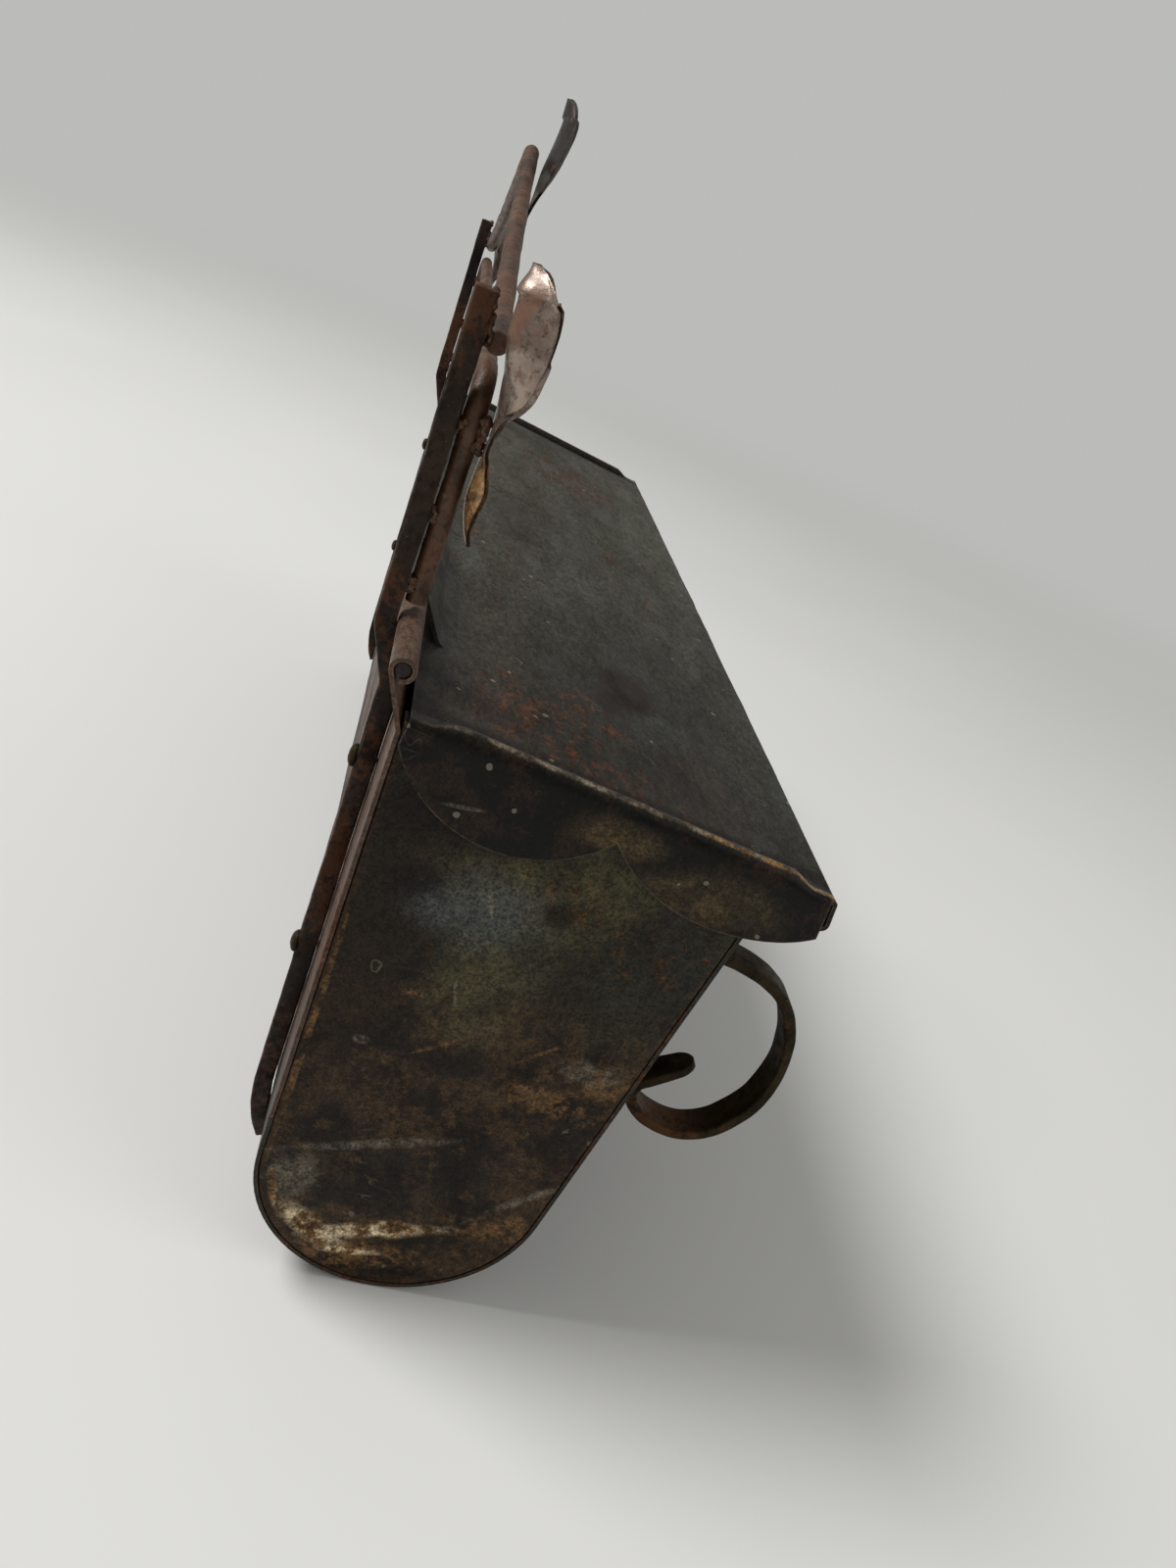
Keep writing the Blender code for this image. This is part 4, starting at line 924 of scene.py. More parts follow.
def make_lid(sizes, material):
    body = bmesh.new()
    grid = []
    for along in lid_rows():
        half = lid_section(along, sizes)
        right = half + [(x, 0.0) for x in stations(0.0, TOP_HALF, 0.0035)[:0:-1]]
        line = [(-x, below) for x, below in right] + [(0.0, 0.0)] + right[::-1]
        row = []
        for x, below in line:
            flare = LIP_FLARE * max(below, 0.0) / LIP_HEIGHT * soft(LID_DEPTH - 0.03, LID_DEPTH, along)
            lift = lid_dent(x, along, sizes.dent) if abs(x) < FLAT_HALF else 0.0
            reach, height = lid_point(along + flare, below - lift)
            side = 0.0
            if below > EDGE_ROUND:
                side = SKIRT_WAVE * wobble((x, along, below), 45.0, 5.0) * soft(0.0, 0.008, below)
            row.append(body.verts.new((x + side * (1 if x > 0 else -1), -reach, height)))
        grid.append(row)
    add_quads(body, grid)
    bmesh.ops.recalc_face_normals(body, faces=body.faces)
    if max(body.faces, key=lambda face: face.calc_center_median().z).normal.z < 0:
        bmesh.ops.reverse_faces(body, faces=body.faces)
    thicken(body, sizes.sheet, 1.6)
    corner = lid_point(LID_DEPTH - sizes.sheet / 2, sizes.sheet / 2)
    foot = lid_point(LID_DEPTH - sizes.sheet / 2 + LIP_FLARE, LIP_HEIGHT - LIP_CURL)
    down = (Vector(foot) - Vector(corner)).normalized()
    back = Vector((down.y, -down.x))
    centre = Vector(foot) + back * LIP_CURL
    start = atan2(-back.y, -back.x)
    curl = arc(tuple(centre), LIP_CURL, start, start - CURL_SWEEP, CURL_STEP)
    begin = lid_point(LID_DEPTH - EDGE_ROUND, sizes.sheet / 2)
    lip = rounded([begin, corner, foot], EDGE_ROUND - sizes.sheet / 2, CURL_STEP) + curl[1:]

    def lip_wave(x, reach, height, index):
        return LIP_WAVE * soft(0, 4, index - 2) * (wobble((x, 0, 0), 30.0, 4.2) + 0.4 * wobble((x, 0, 0), 110.0, 9.2))

    add_ribbon(body, spaced(lip, 0.0012), sizes.sheet, stations(-LIP_HALF, LIP_HALF, 0.0030), lip_wave)
    riser_foot = lid_point(RISER_FOOT, sizes.sheet / 2)
    begin = tangent_angle(riser_foot, 1)
    roll = arc(HINGE, KNUCKLE_RADIUS - sizes.sheet / 2, begin, begin + ROLL_SWEEP, CURL_STEP)
    riser = rounded([lid_point(RISER_FOOT * 2, sizes.sheet / 2), riser_foot, roll[0]], RISER_ROUND)[:-1] + roll
    inner = BODY_LENGTH / 2 - END_KNUCKLE - KNUCKLE_GAP
    add_ribbon(body, riser, sizes.sheet, stations(-inner, inner, 0.012))
    return keep("lid_dressed", body, material, "lid", ("lid",), 38)


def tangent_angle(point, side):
    """Angle on the knuckle where a line from a point touches it."""
    across = point[0] - HINGE[0]
    up = point[1] - HINGE[1]
    return atan2(up, across) + side * acos((KNUCKLE_RADIUS - SHEET / 2) / hypot(across, up))


def plate_outline(inset, gap):
    """The box's end from the rim at the back, round the bottom, to the rim at the front, as even steps."""
    radius = BOTTOM_RADIUS - inset
    back = BACK_REACH + inset
    shift = inset / cos(LEAN)
    top = RIM_REACH - shift
    bottom = arc(BOTTOM_CENTRE, radius, pi, 2 * pi - LEAN, radians(4))
    return spaced([(back, rim_at(back))] + bottom + [(top, rim_at(top))], gap)


def rim_at(reach):
    """Height of the box's rim under the lid."""
    return lid_top(reach) - (SHEET + SEAT_GAP) / cos(LID_PITCH)


def make_end_plate(side, word, sizes, material):
    """Pressed end: flange, soft corner and a slightly dented face, then the sheet's second side."""
    body = bmesh.new()
    x_face = side * (BODY_LENGTH / 2 - 0.0001)
    rim = plate_outline(sizes.sheet + 0.00006, 0.0025)
    normals = offsets(rim)
    strips = [(0.0, depth) for depth in (*FLANGE_DEPTHS, PLATE_CORNER)]
    strips += [(PLATE_CORNER * (1 - cos(a)), PLATE_CORNER * (1 - sin(a)))
               for a in (radians(22), radians(45), radians(68), pi / 2)]
    rings = []
    last = len(rim) - 1
    for inward, depth in strips:
        ring = []
        for i, (reach, height) in enumerate(rim):
            step = normals[i] * -inward if 0 < i < last else Vector((inward if i == 0 else -inward, 0.0))
            if step.dot(Vector(PLATE_HUB) - Vector((reach, height))) < 0:
                step = -step
            ring.append(body.verts.new((x_face - side * depth, -(reach + step.x), height + step.y)))
        rings.append(ring)
    add_quads(body, rings)
    outer = rings[-1]
    loop = outer + [body.verts.new(outer[-1].co.lerp(outer[0].co, i / 36)) for i in range(1, 36)]
    hub = Vector((x_face, -PLATE_HUB[0], PLATE_HUB[1]))
    rows = [loop]
    for part in PLATE_SHARES:
        row = []
        for vert in loop:
            place = hub.lerp(vert.co, part)
            wave = wobble(place, 24.0, 11.0) + 0.35 * wobble(place, 70.0, 2.0) + 0.12 * wobble(place, 190.0, 6.0)
            place.x = x_face - side * sizes.dent * (0.5 + wave) * soft(0.0, 0.22, 1 - part)
            row.append(body.verts.new(place))
        rows.append(row)
    add_quads(body, rows, True)
    middle = body.verts.new((x_face - side * sizes.dent * 0.5, hub.y, hub.z))
    for a, b in zip(rows[-1], rows[-1][1:] + rows[-1][:1]):
        body.faces.new([a, b, middle])
    bmesh.ops.recalc_face_normals(body, faces=body.faces)
    face = min(body.faces, key=lambda f: (f.calc_center_median() - hub).length)
    if face.normal.x * side < 0:
        bmesh.ops.reverse_faces(body, faces=body.faces)
    thicken(body, sizes.sheet, 1.5)
    return keep(f"{word}_end_dressed", body, material, "box", (f"{word}_end_plate",))


def make_pocket(sizes, material):
    """Round bottom and leaning front with a folded hem."""
    inset = sizes.sheet / 2
    radius = BOTTOM_RADIUS - inset
    start = (BACK_REACH + inset, BOTTOM_CENTRE[1] + BACK_SEAM_RISE - SEAT_GAP)
    path = [start] + arc(BOTTOM_CENTRE, radius, pi, 2 * pi - LEAN, radians(5))
    up = Vector((sin(LEAN), cos(LEAN)))
    inward = Vector((-cos(LEAN), sin(LEAN)))
    fold = (sizes.sheet + SEAT_GAP) / 2
    top = Vector((RIM_REACH - inset / cos(LEAN), RIM_Z)) - up * (fold + sizes.sheet)
    path = spaced(path + [tuple(top)], 0.004)
    path += arc(tuple(top + inward * fold), fold, -LEAN, pi - LEAN, radians(30))[1:]
    path.append(tuple(Vector(path[-1]) - up * 0.006))
    turn = len(path) - 9

    def wave(x, reach, height, index):
        calm = soft(0.0, 0.02, 0.2024 - abs(x)) * soft(0, 4, turn - index) * soft(0, 3, index)
        place = (x, reach, height)
        return sizes.dent * calm * (0.8 * wobble(place, 18.0, 8.0) + 0.3 * wobble(place, 60.0, 2.5))

    body = bmesh.new()
    half = BODY_LENGTH / 2
    add_ribbon(body, path, sizes.sheet, stations(-half, half, 0.006), wave)
    return keep("pocket_dressed", body, material, "box", ("pocket_sheet",))


def make_back(sizes, material):
    """Flat back with its top edge stepped to the wall and rolled round the pin at both ends."""
    middle = BACK_REACH + sizes.sheet / 2
    foot = BOTTOM_CENTRE[1] + BACK_SEAM_RISE
    bend = (middle, HINGE[1] - HINGE_JOGGLE)
    half = BODY_LENGTH / 2
    body = bmesh.new()

    def wave(x, reach, height, index):
        return BACK_WAVE * (wobble((x, 0, height), 60.0, 3.0) + 0.5 * wobble((x, 0, height), 200.0, 5.0))

    add_ribbon(body, spaced([(middle, foot), bend], 0.005), sizes.sheet, stations(-half, half, 0.008), wave)
    start = tangent_angle(bend, -1)
    roll = arc(HINGE, KNUCKLE_RADIUS - sizes.sheet / 2, start, start - ROLL_SWEEP, CURL_STEP)
    riser = rounded([bend, (middle, bend[1] + 0.0002), roll[0]], RISER_ROUND)[1:-1]
    path = [bend] + riser + roll
    for side in (-1, 1):
        low, high = sorted((side * half, side * (half - END_KNUCKLE)))
        add_ribbon(body, path, sizes.sheet, stations(low, high, 0.004))
    return keep("back_dressed", body, material, "box", ("back_sheet",))


# Geometry node pieces


class GeoTree:
    """One geometry node tree with named inputs and a modifier-ready geometry socket."""

    def __init__(self, name, inputs):
        self.tree = bpy.data.node_groups.new(name, "GeometryNodeTree")
        face = self.tree.interface
        face.new_socket(name="Geometry", in_out="INPUT", socket_type="NodeSocketGeometry")
        for label in (*inputs, "Material"):
            kind = {"Material": "Material", "Amount": "Int", "Seed": "Int"}.get(label, "Float")
            face.new_socket(name=label, in_out="INPUT", socket_type="NodeSocket" + kind)
        face.new_socket(name="Geometry", in_out="OUTPUT", socket_type="NodeSocketGeometry")
        self.graph = Graph(self.tree)
        self.inputs = self.tree.nodes.new("NodeGroupInput").outputs
        self.leave = self.tree.nodes.new("NodeGroupOutput")

    def end(self, geometry):
        real = self.graph.node("GeometryNodeRealizeInstances", {0: geometry}).outputs[0]
        inputs = {"Geometry": real, "Material": self.inputs["Material"]}
        done = self.graph.node("GeometryNodeSetMaterial", inputs).outputs[0]
        self.graph.tree.links.new(done, self.leave.inputs[0])
        return self.tree


def grow(name, tree, points, edges, **values):
    """Runs a tree on a line or a cloud of points and gives back the plain mesh that it makes."""
    base = bpy.data.meshes.new(name + "_guide")
    base.from_pydata([tuple(p) for p in points], edges, [])
    thing = bpy.data.objects.new(name + "_guide", base)
    bpy.context.scene.collection.objects.link(thing)
    step = thing.modifiers.new("grow", "NODES")
    step.node_group = tree
    sockets = {s.name: s.identifier for s in tree.interface.items_tree if s.in_out == "INPUT"}
    for label, value in values.items():
        step[sockets[label.replace("_", " ")]] = value
    bpy.context.view_layer.update()
    found = thing.evaluated_get(bpy.context.evaluated_depsgraph_get())
    mesh = bpy.data.meshes.new_from_object(found)
    mesh.name = name
    bpy.data.objects.remove(thing)
    bpy.data.meshes.remove(base)
    return mesh


def make_rod_tree():
    """Round rod along a line, with rounded ends and shallow hammer marks."""
    t = GeoTree("forged_rod", ("Radius", "Hammer", "Step", "Tip"))
    g, i = t.graph, t.inputs
    curve = g.node("GeometryNodeMeshToCurve", {"Mesh": i["Geometry"]}).outputs[0]
    even = g.node("GeometryNodeResampleCurve", {"Curve": curve, "Length": i["Step"]}, mode="LENGTH").outputs[0]
    along = g.node("GeometryNodeSplineParameter").outputs["Length"]
    whole = g.node("GeometryNodeSplineLength").outputs["Length"]
    end = g.math("DIVIDE", g.math("MINIMUM", along, g.minus(whole, along)), i["Tip"], True)
    gone = g.minus(1.0, end)
    full = g.math("SQRT", g.math("MAXIMUM", g.minus(1.0, g.times(gone, gone)), 0.02))
    sized = g.node("GeometryNodeSetCurveRadius", {"Curve": even, "Radius": full}).outputs[0]
    inputs = {"Resolution": ROUND_SIDES, "Radius": i["Radius"]}
    ring = g.node("GeometryNodeCurvePrimitiveCircle", inputs).outputs["Curve"]
    tube = g.node("GeometryNodeCurveToMesh", {"Curve": sized, "Profile Curve": ring, "Fill Caps": True}).outputs[0]
    place = g.node("GeometryNodeInputPosition").outputs[0]
    broad = g.minus(g.noise(place, 95.0, 2.0), 0.5)
    small = g.minus(g.noise(place, 420.0, 3.0, 0.6), 0.5)
    return t.end(g.push(tube, g.times(g.plus(broad, g.times(small, 0.2)), i["Hammer"])))


def make_blob_tree():
    """Crust of small lumps round each point, as weld metal and scale leave it."""
    t = GeoTree("weld_crust", ("Size", "Spread", "Amount", "Seed", "Grain"))
    g, i = t.graph, t.inputs
    many = g.node("GeometryNodeDuplicateElements", {"Geometry": i["Geometry"], "Amount": i["Amount"]}, domain="POINT")
    index = g.node("GeometryNodeInputIndex").outputs[0]
    throw = g.node("FunctionNodeRandomValue", {"ID": index, "Seed": i["Seed"]}, data_type="FLOAT_VECTOR")
    throw.inputs[0].default_value = (-1.0, -0.45, -1.0)
    throw.inputs[1].default_value = (1.0, 0.45, 1.0)
    shift = g.vector("SCALE", throw.outputs[0], scale=i["Spread"])
    placed = g.node("GeometryNodeSetPosition", {"Geometry": many.outputs[0], "Offset": shift}).outputs[0]
    ball = g.node("GeometryNodeMeshIcoSphere", {"Radius": 1.0, "Subdivisions": 2}).outputs["Mesh"]
    pick = g.node("FunctionNodeRandomValue", {"ID": index, "Seed": i["Seed"]}, data_type="FLOAT")
    pick.inputs[2].default_value = 0.45
    pick.inputs[3].default_value = 1.15
    inputs = {"Points": placed, "Instance": ball, "Scale": g.times(pick.outputs[1], i["Size"])}
    balls = g.node("GeometryNodeInstanceOnPoints", inputs).outputs[0]
    real = g.node("GeometryNodeRealizeInstances", {0: balls}).outputs[0]
    inputs = {"Mesh": real, "Voxel Size": i["Grain"], "Interior Band Width": g.times(i["Grain"], 4.0)}
    lump = g.node("GeometryNodeMeshToVolume", inputs, resolution_mode="VOXEL_SIZE").outputs[0]
    skin = g.node("GeometryNodeVolumeToMesh", {"Volume": lump, "Threshold": 0.1}, resolution_mode="GRID").outputs[0]
    place = g.node("GeometryNodeInputPosition").outputs[0]
    return t.end(g.push(skin, g.times(g.minus(g.noise(place, 900.0, 4.0, 0.65), 0.5), i["Size"])))


def make_rivet_tree():
    """Low peened rivet heads standing on points, all turned by the same tilt and slightly uneven."""
    t = GeoTree("rivet_heads", ("Radius", "Height", "Tilt", "Seed"))
    g, i = t.graph, t.inputs
    ball = g.node("GeometryNodeMeshUVSphere", {"Segments": 24, "Rings": 14, "Radius": 1.0}).outputs["Mesh"]
    scale = g.node("ShaderNodeCombineXYZ", {"X": i["Radius"], "Y": i["Height"], "Z": i["Radius"]}).outputs[0]
    flat = g.node("GeometryNodeTransform", {"Geometry": ball, "Scale": scale}).outputs[0]
    turn = g.node("ShaderNodeCombineXYZ", {"X": i["Tilt"]}).outputs[0]
    inputs = {"Points": i["Geometry"], "Instance": flat, "Rotation": turn}
    heads = g.node("GeometryNodeInstanceOnPoints", inputs).outputs[0]
    real = g.node("GeometryNodeRealizeInstances", {0: heads}).outputs[0]
    place = g.node("GeometryNodeInputPosition").outputs[0]
    return t.end(g.push(real, g.times(g.minus(g.noise(place, 520.0, 2.0), 0.5), g.times(i["Height"], 0.35))))


TREES = {}


def tree_of(kind):
    """Node tree of a kind, built when it is first asked for."""
    if kind not in TREES:
        TREES[kind] = {"rod": make_rod_tree, "blob": make_blob_tree, "rivet": make_rivet_tree}[kind]()
    return TREES[kind]


def make_rod(name, line, sizes, material, replaced):
    edges = [(i, i + 1) for i in range(len(line) - 1)]
    mesh = grow(name, tree_of("rod"), line, edges, Radius=sizes.rod / 2, Hammer=sizes.hammer * 3, Step=0.0014,
                Tip=0.0012, Material=material)
    return keep_mesh(name, mesh, "box", (replaced,), 60)


# Bars, rods, leaves and hooks


ARCH_FOOT_DROP = 0.0093
ARCH_PEAK_RISE = 0.0242
ARCH_PEAK_ROUND = 0.0090
ARCH_FOOT_LAP = 0.0012
SCROLL_FOOT_RISE = 0.0048
SCROLL_TOP_DROP = 0.0163
SCROLL_ELBOW = 0.0090
SCROLL_OFFSET = 0.0016
SCROLL_RADIUS = 0.0165
SCROLL_EYE_RADIUS = 0.0062
SCROLL_TURNS = 1.35
SCROLL_DIP = 0.0030
POST_JOGGLE = 0.0051
JOGGLE_START = 0.0008
JOGGLE_LENGTH = 0.0135
POST_BEND = 0.0060
TOE_SWEEP = radians(27)
LEAF_LENGTH = 0.0570
LEAF_WIDTH = 0.0270
LEAF_SEAT = 0.0102
LEAF_THICKNESS = 0.0010
SIDE_LEAF_DROP = 0.0498
CREST_LEAF_DROP = 0.0103
LEAF_CUP = 0.0066
LEAF_TIP_BACK = 0.0012
LEAF_STEM_OUT = 0.0037
LEAF_FOLD = 0.0032
LEAF_ROWS = 96
LEAF_COLUMNS = 36
CREST_LEAF_LEAN = 0.0040
LEAF_WIDTH_SHARES = (
    (0.00, 0.06), (0.02, 0.11), (0.08, 0.16), (0.14, 0.36), (0.20, 0.50), (0.26, 0.47), (0.34, 0.32), (0.41, 0.32),
    (0.48, 0.52), (0.55, 0.78), (0.63, 0.96), (0.71, 1.00), (0.80, 0.97), (0.88, 0.86), (0.94, 0.68), (0.98, 0.45),
    (1.00, 0.20),
)
LEAF_CUP_SHARES = (
    (0.00, 0.00), (0.05, 0.10), (0.14, 0.35), (0.23, 0.45), (0.30, 0.25), (0.375, 0.05), (0.475, 0.18), (0.55, 0.55),
    (0.605, 0.80), (0.70, 0.97), (0.81, 1.00), (0.90, 0.92), (0.96, 0.70), (1.00, 0.30),
)
LEAF_STEM_SHARES = (
    (0.00, 1.00), (0.05, 0.60), (0.12, 0.24), (0.20, 0.08), (0.34, 0.19), (0.45, 0.27), (0.52, 0.20), (0.62, 0.03),
    (0.70, 0.00), (1.00, 0.00),
)
LEAF_TIP_SHARES = ((0.00, 0.00), (0.82, 0.00), (0.90, 0.65), (1.00, 1.00))
STRAP = 0.0032
STRAP_CLEAR = 0.0003
PIN_RADIUS = 0.0017
HOOK_TAB = 0.0220
HOOK_TAB_DROP = 0.0134
HOOK_REACH = 0.0450
HOOK_DROP = 0.0680
HOOK_BEND = 0.0040
HOOK_SHARES = (
    (0.259, 0.102), (0.481, 0.133), (0.659, 0.177), (0.814, 0.251), (0.910, 0.348), (0.970, 0.450),
    (0.999, 0.583), (0.968, 0.748), (0.881, 0.864), (0.759, 0.953), (0.577, 1.000), (0.386, 0.982),
    (0.241, 0.928), (0.166, 0.864), (0.179, 0.805), (0.259, 0.765), (0.406, 0.696), (0.488, 0.661),
)
HOOK_RIVETS = (0.0180, 0.0265)
RIVET_RADIUS = 0.0028
RIVET_HEIGHT = 0.0014
WELD_GRAIN = 0.00026
POST_RIVETS = (0.20, 0.70)


def make_post(side, word, sizes, material):
    """Square bar with hammered corners, stepped in under the hinge and turned in along the bottom."""
    half = sizes.bar / 2
    joggle_top = HINGE[1] - JOGGLE_START
    path = [(half, POST_TOP), (half, joggle_top), (POST_JOGGLE + half, joggle_top - JOGGLE_LENGTH)]
    toe = arc(BOTTOM_CENTRE, BOTTOM_RADIUS + SEAT_GAP + half, pi, pi + TOE_SWEEP)
    path = spaced(rounded(path + [toe[0]], POST_BEND)[:-1] + toe, 0.0025)
    line = [(side * POST_X, -reach, height) for reach, height in path]

    def hammered(point, corner):
        place = (side * POST_X + corner * 0.4, point.y, point.z)
        return 1.0 + sizes.hammer / half * (0.8 * wobble(place, 75.0, 4.0) + 0.6 * wobble(place, 240.0, 9.0) - 0.2)

    body = bmesh.new()
    add_sweep(body, line, soft_box(sizes.bar, sizes.bar, 0.0006), 0.0004, hammered)
    return keep(f"{word}_post_dressed", body, material, "box", (f"{word}_post",))


def arch_line():
    """Half of a soft arch from a post to its round peak, and its mirror image."""
    foot = (POST_X - ARCH_FOOT_LAP, POST_TOP - ARCH_FOOT_DROP)
    peak = (0, POST_TOP + ARCH_PEAK_RISE + ROD)
    flank = []
    for at, sag in ((0.0, 0.0), (0.22, 0.06), (0.5, 0.10), (0.78, 0.07)):
        flank.append((foot[0] * (1 - at), foot[1] + (peak[1] - foot[1]) * (at - sag)))
    half = smooth(flank + [peak], 5)
    line = half + [(-x, z) for x, z in half[-2::-1]]
    top = len(half) - 1
    peak_round = rounded([line[top - 3], line[top], line[top + 3]], ARCH_PEAK_ROUND)[1:-1]
    line = line[:top - 2] + peak_round + line[top + 3:]
    return [(x, -ROD_REACH, z) for x, z in line]


def scroll_line(side):
    """Leg beside a post, elbow, bridge and spiral."""
    leg_x = POST_X - SCROLL_OFFSET
    top = POST_TOP - SCROLL_TOP_DROP
    eye = (SCROLL_RADIUS + ROD / 2 + SEAT_GAP, top - SCROLL_DIP - SCROLL_RADIUS)
    steps = ceil(SCROLL_TURNS * 2 * pi / radians(7))
    spiral = []
    for i in range(steps + 1):
        at = i / steps
        radius = SCROLL_RADIUS + (SCROLL_EYE_RADIUS - SCROLL_RADIUS) * at
        spiral.append(point_on(eye, radius, pi / 2 + SCROLL_TURNS * 2 * pi * at))
    leg = rounded([(leg_x, HINGE[1] + SCROLL_FOOT_RISE), (leg_x, top), ((leg_x + eye[0]) / 2, top)], SCROLL_ELBOW)
    bridge = smooth([leg[-1], ((leg[-1][0] + 3 * eye[0]) / 4, top - SCROLL_DIP / 2), spiral[0]])
    line = leg[:-1] + bridge[:-1] + spiral
    return [(side * x, -ROD_REACH, z) for x, z in line]


def between(table, at):
    """Value at a place in a table of (place, value) pairs."""
    for (low, first), (high, second) in zip(table, table[1:]):
        if at <= high:
            return first + (second - first) * max(at - low, 0.0) / max(high - low, 1e-9)
    return table[-1][1]


def make_leaf(word, x_middle, stem_z, phase, material, side=-1, fold_depth=LEAF_FOLD, lean=0.0, cupped=1.0):
    """Thin sheet leaf: a small lobe, a waist and a large lobe cupped forwards, with a faint rib and dents."""
    tables = (LEAF_WIDTH_SHARES, LEAF_CUP_SHARES, LEAF_STEM_SHARES, LEAF_TIP_SHARES)
    width, cups, stems, tips = [smooth(table, 6) for table in tables]
    body = bmesh.new()
    grid = []
    for row in range(LEAF_ROWS + 1):
        at = row / LEAF_ROWS
        up = at * LEAF_LENGTH
        spread = between(width, at)
        half = LEAF_WIDTH / 2 * spread
        cup_share = cupped * LEAF_CUP * between(cups, at)
        bow = LEAF_STEM_OUT * between(stems, at) - LEAF_TIP_BACK * between(tips, at) + lean * soft(0.3, 1.0, at)
        line = []
        for column in range(LEAF_COLUMNS + 1):
            across = sin(pi * (column / LEAF_COLUMNS - 0.5))
            far = abs(across)
            cup = cup_share * far ** 2
            fold = fold_depth * soft(0.54, 0.78, at) * soft(1.02, 0.90, at)
            fold *= max(1 - ((across * side - 0.50) / 0.42) ** 2, 0.0) ** 1.5
            rib = -0.0005 * spread * max(1 - far / 0.16, 0) ** 2
            place = (across * half, up, phase)
            dent = 0.00030 * spread * wobble(place, 110.0, 2.0) + 0.00008 * wobble(place, 420.0, 5.0)
            roll = 0.00045 * wobble((phase + 3 * across, up, 0.4), 70.0, 8.0) * soft(0.7, 1.0, far) * spread
            edge = 1 + 0.035 * spread * wobble((phase + across, up, 0.0), 95.0, 6.0) * soft(0.6, 1.0, far)
            reach = LEAF_SEAT + cup + bow + max(rib + dent + roll, -cup) - fold + 0.0001
            line.append(body.verts.new((x_middle + half * across * edge, -reach, stem_z + LEAF_LENGTH * at)))
        grid.append(line)
    add_quads(body, grid)
    body.normal_update()
    if sum(f.normal.y for f in body.faces) < 0:
        bmesh.ops.reverse_faces(body, faces=body.faces)
    thicken(body, LEAF_THICKNESS - 0.0001, 1.0, 1)
    for v in body.verts:
        v.co.z = min(v.co.z, stem_z + LEAF_LENGTH)
    leaf = keep(f"{word}_leaf_dressed", body, material, "box", (f"{word}_leaf",), 50)
    leaf.data.materials.append(FINISHES["rim"])


def hook_line():
    """Tab on the box's front and the wide loop under it."""
    tab_top = RIM_Z - HOOK_TAB_DROP
    tab_foot = tab_top - HOOK_TAB
    stand = (STRAP_CLEAR + STRAP / 2) / cos(LEAN)
    foot = (front_reach(tab_foot) + stand, tab_foot)
    head = (front_reach(tab_top) + stand, tab_top)
    loop = [(foot[0] + HOOK_REACH * out, foot[1] - HOOK_DROP * down) for out, down in HOOK_SHARES]
    return rounded([head, foot, loop[0]], HOOK_BEND)[:-1] + smooth(loop)


def make_hook(side, word, sizes, material):
    """Flat strap bent to a wide loop, with a tapered round nose and hammered faces."""
    path = spaced(hook_line(), 0.0016)
    line = [(side * HOOK_X, -reach, height) for reach, height in path]
    points = [Vector(p) for p in line]
    run = [0.0]
    for a, b in zip(points, points[1:]):
        run.append(run[-1] + (b - a).length)
    whole = run[-1]
    section = soft_box(sizes.strap, sizes.strap_width, 0.0007, 4)
    rings = []
    count = len(points)
    for i, point in enumerate(points):
        along = (points[min(i + 1, count - 1)] - points[max(i - 1, 0)]).normalized()
        other = Vector((1, 0, 0))
        out = along.cross(other).normalized()
        left = whole - run[i]
        nose = sqrt(max(1 - max(1 - left / (sizes.strap_width * 0.5), 0) ** 2, 0.03))
        taper = 1 - 0.18 * soft(0.030, 0.0, left)
        thin = 1 - 0.25 * soft(0.012, 0.0, left)
        ring = []
        for a, b in section:
            place = (side * HOOK_X + b * 4, point.y + a, point.z)
            marks = wobble(place, 90.0, 3.0) + 0.5 * wobble(place, 260.0, 8.0) - 0.2
            dent = 1 + sizes.hammer / (sizes.strap / 2) * marks
            wide = 1 + sizes.hammer / (sizes.strap_width / 2) * 1.4 * wobble(place, 60.0, 6.0)
            ring.append(tuple(point + out * a * dent * thin + other * b * nose * taper * wide))
        rings.append(ring)
    body = bmesh.new()
    add_loft(body, rings)
    return keep(f"{word}_hook_dressed", body, material, "box", (f"{word}_paper_hook",))


def set_rivets(word, points, tilt, seed, material):
    mesh = grow(f"{word}_rivets", tree_of("rivet"), points, [], Radius=RIVET_RADIUS, Height=RIVET_HEIGHT, Tilt=tilt,
                Seed=seed, Material=material)
    names = [f"{w}_{word}_rivet_{level}" for _, w in SIDES for level in ("upper", "lower")]
    keep_mesh(f"{word}_rivet_heads", mesh, "box", names)


def make_rivets(sizes, material):
    """Heads in front and behind for the hooks and posts."""
    normal = Vector((0, -cos(LEAN), -sin(LEAN)))
    points = []
    for side in (-1, 1):
        for drop in HOOK_RIVETS:
            height = RIM_Z - drop
            outer = Vector((side * HOOK_X, -front_reach(height), height))
            points.append(outer + normal * (STRAP + 2 * STRAP_CLEAR))
            points.append(outer - normal * (sizes.sheet + SEAT_GAP))
    set_rivets("hook", points, LEAN, 3, material)
    top = HINGE[1] - HINGE_JOGGLE
    foot = BOTTOM_CENTRE[1] + BACK_SEAM_RISE
    points = []
    for side in (-1, 1):
        for at in POST_RIVETS:
            height = top + (foot - top) * at
            points.append((side * POST_X, -(POST_JOGGLE - SEAT_GAP), height))
            points.append((side * POST_X, -(BACK_REACH + sizes.sheet + SEAT_GAP), height))
    set_rivets("post", points, 0.0, 5, material)


